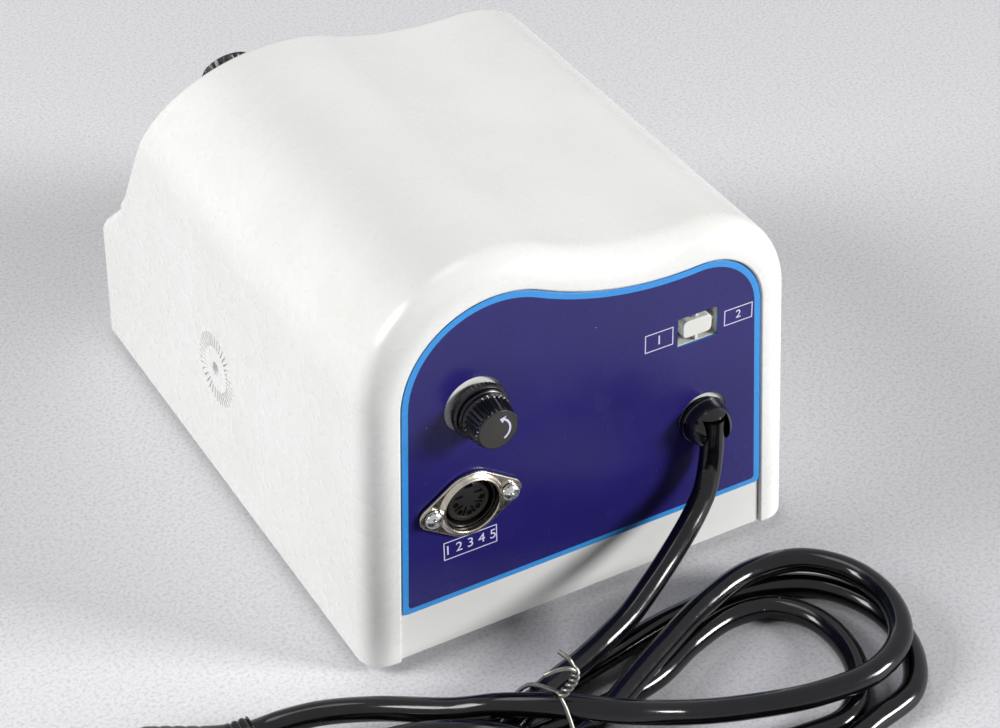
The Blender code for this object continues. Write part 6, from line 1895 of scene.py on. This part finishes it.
@dataclass
class RockerSwitch:
    """A rocker in its bezel, tipped one way at rest."""

    name: str
    body: Body
    place: Matrix
    width: float = 0.0090
    length: float = 0.0150
    bezel: float = 0.0020
    bezel_height: float = 0.0016
    pivot: float = 0.0015
    rise: float = 0.0040
    tilt: float = math.radians(9.0)

    def hole(self, depth: float) -> bpy.types.Object:
        """A cutter for the switch's body.

        Args:
            depth: How deep it cuts.

        Returns:
            The cutter.
        """
        return block(f"{self.name}_hole_tool", self.width + 0.0026, self.length + 0.0026, -depth, 0.002, self.place, ABS_WHITE)

    def build(self) -> None:
        """Builds the bezel with its body, the rocker and its marks."""
        outer = rectangle(self.width + 2 * self.bezel, self.length + 2 * self.bezel, corner=0.0008)
        inner = rectangle(self.width, self.length, corner=0.0002)
        ring = plate(f"{self.name}_bezel", [outer, inner], FIT, FIT + self.bezel_height, self.place, BLACK_RIBBED, 0.0004)
        settle(ring, Body.BOX, Slot.BLACK, f"{self.name}_switch_body")
        rim = rectangle(self.width + 0.002, self.length + 0.002)
        well = plate(f"{self.name}_well", [rim, inner], -0.0100, FIT + 0.0002, self.place, BLACK_MATT)
        settle(well, Body.BOX, Slot.BLACK)
        floor = plate(f"{self.name}_well_floor", [rim], -0.0118, -0.0100, self.place, BLACK_MATT)
        settle(floor, Body.BOX, Slot.BLACK)
        reach, crest = self.length / 2 - FIT, self.rise + self.bezel_height
        end = reach * math.sin(self.tilt)
        side = math.asin(min((crest - end) / reach, 1.0))
        right = [(reach * math.cos(a), reach * math.sin(a)) for a in (side, side / 2, 0.0, -self.tilt)]
        hollow = (right[0][0] * 0.5, (crest + right[0][1]) / 2 - 0.0004)
        half = [(0.0, crest), hollow, *right]
        outline = eased(half + [(-x, y) for x, y in reversed(half[1:])], 0.0008, True)
        tip = self.place @ Matrix.Translation((0, 0, -self.pivot)) @ Matrix.Rotation(self.tilt, 4, "X")
        half_width = self.width / 2 - FIT
        rings = [[(x, y * k, z * k) for y, z in outline] for x, k in (
            (-half_width, 0.97), (-half_width + 0.0002, 0.99), (-half_width + 0.0005, 1.0),
            (half_width - 0.0005, 1.0), (half_width - 0.0002, 0.99), (half_width, 0.97))]
        key = shape(f"{self.name}_key", lofted(rings), tip, ROCKER_BLACK, 50)
        settle(key, self.body, Slot.ROCKER, f"{self.name}_rocker")
        slope = math.atan2(crest - right[0][1], right[0][0])
        for mark, way in (("bar", 1), ("ring", -1)):
            spot = tip @ Matrix.Translation((0, way * right[0][0] * 0.62, (crest + right[0][1]) / 2 - 0.0001)) @ Matrix.Rotation(-way * slope, 4, "X")
            shapes = {"bar": [rectangle(0.0004, 0.0022)], "ring": [circle(0.0012), circle(0.0009)]}
            ink = plate(f"{self.name}_mark_{mark}", shapes[mark], -0.0001, 0.00004, spot, INK_WHITE)
            settle(ink, self.body, Slot.ROCKER)


@dataclass
class Front:
    """The fascia's overlay, speed dial and lamp, and the motor socket."""

    casing: Casing
    overlay_rise: float = 0.0060
    border: float = 0.0026
    dial_radius: float = 0.0135
    dial_skirt: float = 0.0040
    dial_grip: float = 0.0085
    dial_low: float = 0.0013
    dial_high: float = 0.0190
    ribs: int = 24
    lamp: Pair = (-0.0220, 0.0420)
    socket: Pair = (0.0250, 0.0170)
    switches: list[RockerSwitch] = field(default_factory=list)

    def __post_init__(self) -> None:
        """Sets the three rocker switches in their places."""
        for name, body, x in (("direction", Body.DIRECTION, -0.044), ("control", Body.CONTROL, -0.022)):
            place = FASCIA @ Matrix.Translation((x, 0.0220, 0.0007))
            self.switches.append(RockerSwitch(name, body, place))
        place = TOE @ Matrix.Translation((-0.0330, 0.0170, 0))
        self.switches.append(RockerSwitch("power", Body.POWER, place, 0.0110, 0.0180))

    @property
    def dial_centre(self) -> Pair:
        """The dial's middle on the fascia: the hump's own centre."""
        hump = self.casing.hump
        return (hump.x, (hump.y - self.casing.toe_height) / math.cos(LEAN))

    def holes(self) -> list[bpy.types.Object]:
        """Cutters through the casing for all that the front carries."""
        deep = self.casing.wall * 2
        made = [switch.hole(deep) for switch in self.switches]
        for name, place, centre, radius in (
            ("neck", FASCIA, self.dial_centre, 0.0039),
            ("lamp", FASCIA, self.lamp, 0.0028),
            ("socket", TOE, self.socket, 0.0088),
        ):
            profile = [(0, -deep), (radius, -deep), (radius, deep), (0, deep)]
            spot = place @ Matrix.Translation((*centre, 0))
            made.append(shape(f"{name}_hole_tool", turned(profile, 32), spot, ABS_WHITE))
        return made

    def outline(self, inset: float) -> list[Pair]:
        """The overlay's outline on the leaning face, drawn in by an inset."""
        stretch, casing = 1 / math.cos(LEAN), self.casing
        top = [(p.x, (p.y - casing.toe_height) * stretch) for p in casing.top_line(casing.rim_width + inset)]
        low = (self.overlay_rise + inset) * stretch
        edge = casing.side_x(casing.toe_height + self.overlay_rise, casing.rim_width + inset)
        return top + eased([top[-1], (-edge, low), (edge, low), top[0]], 0.003)[1:-1]

    def build(self) -> None:
        """Builds everything on the front."""
        cuts = [circle(0.0039, self.dial_centre, 32), circle(0.0028, self.lamp, 32)]
        cuts += [rectangle(0.0116, 0.0176, (x, 0.0220)) for x in (-0.044, -0.022)]
        film = plate("fascia_film", [self.outline(0.0), *cuts], FIT, 0.0007, FASCIA, INK_BLUE, 0.00008)
        settle(film, Body.BOX, Slot.PRINT, "fascia_overlay")
        ink = plate("fascia_field", [self.outline(self.border), *cuts], 0.0007, 0.00074, FASCIA, INK_VIOLET)
        settle(ink, Body.BOX, Slot.PRINT)
        self.build_scale()
        self.build_dial()
        self.build_lamp()
        self.build_socket()
        for switch in self.switches:
            switch.build()

    def build_scale(self) -> None:
        """The dial's scale: eleven ticks with the figures 0 to 10."""
        (x, y), rise = self.dial_centre, 0.00075
        for i in range(11):
            angle = math.radians(230 - 28 * i)
            way = Vector((math.cos(angle), math.sin(angle)))
            middle = Vector((x, y)) + way * 0.0154
            spot = FASCIA @ Matrix.Translation((*middle, 0)) @ Matrix.Rotation(angle, 4, "Z")
            tick = plate(f"dial_tick_{i}", [rectangle(0.0016, 0.0004)], rise, rise + 0.00003, spot, INK_WHITE)
            settle(tick, Body.BOX, Slot.PRINT)
            if i % 2 == 0:
                at = Vector((x, y)) + way * 0.0185
                figure = lettering(f"dial_figure_{i}", str(i), 0.0030, (at.x, at.y), rise, FASCIA)
                settle(figure, Body.BOX, Slot.PRINT)

    def build_dial(self) -> None:
        """The dial: a smooth skirt, a ribbed grip and a pointer line."""
        place = FASCIA @ Matrix.Translation((*self.dial_centre, 0))
        low, high, radius, grip = self.dial_low, self.dial_high, self.dial_radius, self.dial_grip
        step = low + self.dial_skirt
        rings = [
            (radius - 0.0004, low, 0), (radius, low + 0.0003, 0), (radius, low + 0.0012, 0),
            (radius - 0.0006, step - 0.0010, 0), (radius - 0.0010, step - 0.0004, 0), (radius - 0.0018, step, 0),
            (grip + 0.0016, step + 0.0003, 0), (grip + 0.0010, step + 0.0008, 0.6), (grip + 0.0009, step + 0.0014, 1),
            (grip, high - 0.0014, 1), (grip - 0.0002, high - 0.0007, 0.7), (grip - 0.0007, high - 0.0002, 0),
            (grip - 0.0014, high, 0), (grip - 0.0020, high - 0.0002, 0), (0.0020, high - 0.0005, 0),
        ]
        dial = shape("speed_dial_knob", ribbed(rings, self.ribs, 0.0007), place, BLACK_RIBBED, 40)
        pocket = [(0, low - 0.002), (0.0075, low - 0.002), (0.0075, 0.0049), (0.0033, 0.0049), (0.0033, 0.0130), (0, 0.0130)]
        carve(dial, shape("dial_pocket_tool", turned(pocket, 32), place, BLACK_RIBBED))
        settle(dial, Body.DIAL, Slot.BLACK, "speed_dial")
        turn = place @ Matrix.Rotation(math.radians(230), 4, "Z")
        line = plate("speed_dial_line", [rectangle(0.0030, 0.0007, (grip - 0.0035, 0), 0.0003)], high - 0.0010, high + 0.00005, turn, INK_WHITE)
        settle(line, Body.DIAL, Slot.BLACK)
        spot = [rectangle(0.0022, 0.0007, (radius - 0.0029, 0), 0.0003)]
        pointer = plate("speed_dial_pointer", spot, step - 0.0010, step + 0.0001, turn, INK_WHITE)
        settle(pointer, Body.DIAL, Slot.BLACK)

    def build_lamp(self) -> None:
        """The red lamp's lens in its collar."""
        place = FASCIA @ Matrix.Translation((*self.lamp, 0))
        top, radius = 0.0010, 0.0025
        profile = [(0, top - 0.006), (radius, top - 0.006), (radius, top), (0.0032, top), (0.0032, top + 0.0008)]
        for i in range(10):
            angle = i * math.pi / 18
            profile.append((radius * math.cos(angle) if i < 9 else 0.0, top + 0.0008 + radius * math.sin(angle)))
        profile[-1] = (0, profile[-1][1])
        lens = shape("lamp_lens", turned(profile, 40), place, LENS, 40)
        settle(lens, Body.BOX, Slot.LENS, "power_lamp")

    def build_socket(self) -> None:
        """The motor socket: a threaded nickel sleeve with a knurled collar."""
        place = TOE @ Matrix.Translation((*self.socket, 0))
        radius, collar, proud = 0.0085, 0.0105, 0.0040
        profile = [(0, -0.0150), (radius, -0.0150), (radius, FIT)]
        profile += [(radius, 0.0016)]
        for i in range(4):
            at = 0.0017 + i * 0.0006
            profile += [(radius, at), (radius - 0.0003, at + 0.0003)]
        profile += [(radius - 0.0003, proud), (0.0063, proud), (0.0060, proud - 0.0003), (0.0060, -0.0060), (0, -0.0060)]
        sleeve = shape("motor_socket_sleeve", turned(profile, 64), place, NICKEL, 30)
        settle(sleeve, Body.BOX, Slot.NICKEL, "motor_socket")
        rings = [(collar - 0.0002, FIT, 0), (collar, FIT + 0.0002, 1), (collar, 0.0015, 1), (collar - 0.0002, 0.0017, 0)]
        ring = shape("motor_socket_collar", ribbed(rings, 48, 0.0003, 6), place, NICKEL, 30)
        bore = [(0, 0), (radius, 0), (radius, 0.003), (0, 0.003)]
        carve(ring, shape("collar_tool", turned(bore, 64), place, NICKEL))
        settle(ring, Body.BOX, Slot.NICKEL)
        face = plate("motor_socket_insert", [circle(0.0058), *(circle(0.0007, (0.0030 * math.cos(a), 0.0030 * math.sin(a)), 20)
                     for a in (0.5, 2.6, 4.7))], -0.0060, -0.0056, place, BLACK_MATT, 0.0001)
        settle(face, Body.BOX, Slot.BLACK)


@dataclass
class CarriedOver:
    """CAD nodes whose shape is right: they only get their real finish."""

    finishes: tuple[tuple[Finish, tuple[str, ...]], ...] = (
        (ABS_PLATE, ("rear_panel",)),
        (POWDER_GREY, ("base_plate",)),
        (CORE, ("transformer_core",)),
        (TAPE, ("transformer_winding",)),
        (BOARD, ("circuit_board",)),
        (SLEEVE_BLUE, ("filter_capacitor",)),
        (ALUMINIUM, ("heat_sink",)),
        (BLACK_MATT, ("power_transistor", "fuse_holder_nut")),
        (NYLON_WHITE, ("terminal_block", "board_pillar_front_left", "board_pillar_front_right",
                       "board_pillar_rear_left", "board_pillar_rear_right")),
        (NICKEL, ("dial_shaft", "potentiometer_nut", "motor_socket_nut")),
        (ZINC, ("speed_potentiometer", "transformer_strap", "strap_screw_front", "strap_screw_rear",
                "pedal_socket_nut_left", "pedal_socket_nut_right")),
    )

    def build(self) -> None:
        """Gives each node its material."""
        for finish, names in self.finishes:
            for name in names:
                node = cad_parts[name]
                node.data.materials.clear()
                node.data.materials.append(finish.material())
                LOG.info("%s is finished in %s", name, finish.name)


@dataclass(frozen=True)
class Softbox:
    """A square studio lamp that looks at the box."""

    name: str
    place: Triple
    size: float
    power: float
    target: Triple = (0.0, 0.05, 0.05)
    length: float = 0.0

    def build(self) -> None:
        """Makes the lamp."""
        data = bpy.data.lights.new(self.name, "AREA")
        data.shape = "RECTANGLE"
        data.size, data.size_y = self.size, self.length or self.size
        data.energy = self.power
        made = bpy.data.objects.new(self.name, data)
        made.location = self.place
        made.visible_camera = False
        way = Vector(self.target) - Vector(self.place)
        made.rotation_mode = "QUATERNION"
        made.rotation_quaternion = way.to_track_quat("-Z", "Y")
        bpy.context.scene.collection.objects.link(made)


@dataclass
class Studio:
    """The pale table, its surroundings and the lamps."""

    half: float = 4.0
    ambient: str = "#b4b6ba"
    backdrop: str = "#cfd0d3"
    ambient_level: float = 0.10
    lamps: tuple[Softbox, ...] = (
        Softbox("lamp_key", (-1.66, 1.51, 0.79), 0.68, 66.0),
        Softbox("lamp_back", (1.44, -0.43, 1.02), 0.80, 28.0),
        Softbox("lamp_top", (0.18, -0.43, 1.88), 0.80, 5.5),
    )

    def build(self) -> None:
        """Makes the table, the surroundings and the lamps."""
        mesh = bmesh.new()
        h = self.half
        mesh.faces.new([mesh.verts.new(p) for p in ((-h, -h, 0), (h, -h, 0), (h, h, 0), (-h, h, 0))])
        table = shape("table_top", mesh, Matrix.Identity(4), TABLE_TOP)
        for lamp in self.lamps:
            lamp.build()
        world = bpy.data.worlds.new("studio")
        world.use_nodes = True
        tree = world.node_tree
        tree.nodes.clear()
        rays = add_node(tree, "ShaderNodeLightPath")
        seen = add_node(tree, "ShaderNodeMath", {"operation": "ADD"},
                        {0: rays.outputs["Is Camera Ray"], 1: rays.outputs["Is Glossy Ray"]})
        seen = add_node(tree, "ShaderNodeMath", {"operation": "ADD", "use_clamp": True},
                        {0: seen.outputs[0], 1: rays.outputs["Is Transmission Ray"]})
        dim = add_node(tree, "ShaderNodeBackground", {"Color": linear(self.ambient), "Strength": self.ambient_level})
        pale = add_node(tree, "ShaderNodeBackground", {"Color": linear(self.backdrop), "Strength": 1.0})
        both = add_node(tree, "ShaderNodeMixShader", {}, {0: seen.outputs[0], 1: dim.outputs[0], 2: pale.outputs[0]})
        add_node(tree, "ShaderNodeOutputWorld", {}, {0: both.outputs[0]})
        bpy.context.scene.world = world
        bpy.context.scene.view_settings.view_transform = "Standard"


def main() -> None:
    """Builds the scene: camera and cord first, then the box from its shell in."""
    logging.basicConfig(level=logging.INFO, format="%(name)s: %(message)s")
    Viewpoint().build()
    MainsCord().build()
    casing = Casing()
    front = Front(casing)
    casing.build(front.holes())
    for part in (RearLabel(casing), PedalSocket(), FuseHolder(), VoltageSelector(), CordGland(),
                 Foot(), front, CarriedOver(), Studio()):
        part.build()
        LOG.info("%s built", type(part).__name__)


if __name__ == "__main__":
    main()
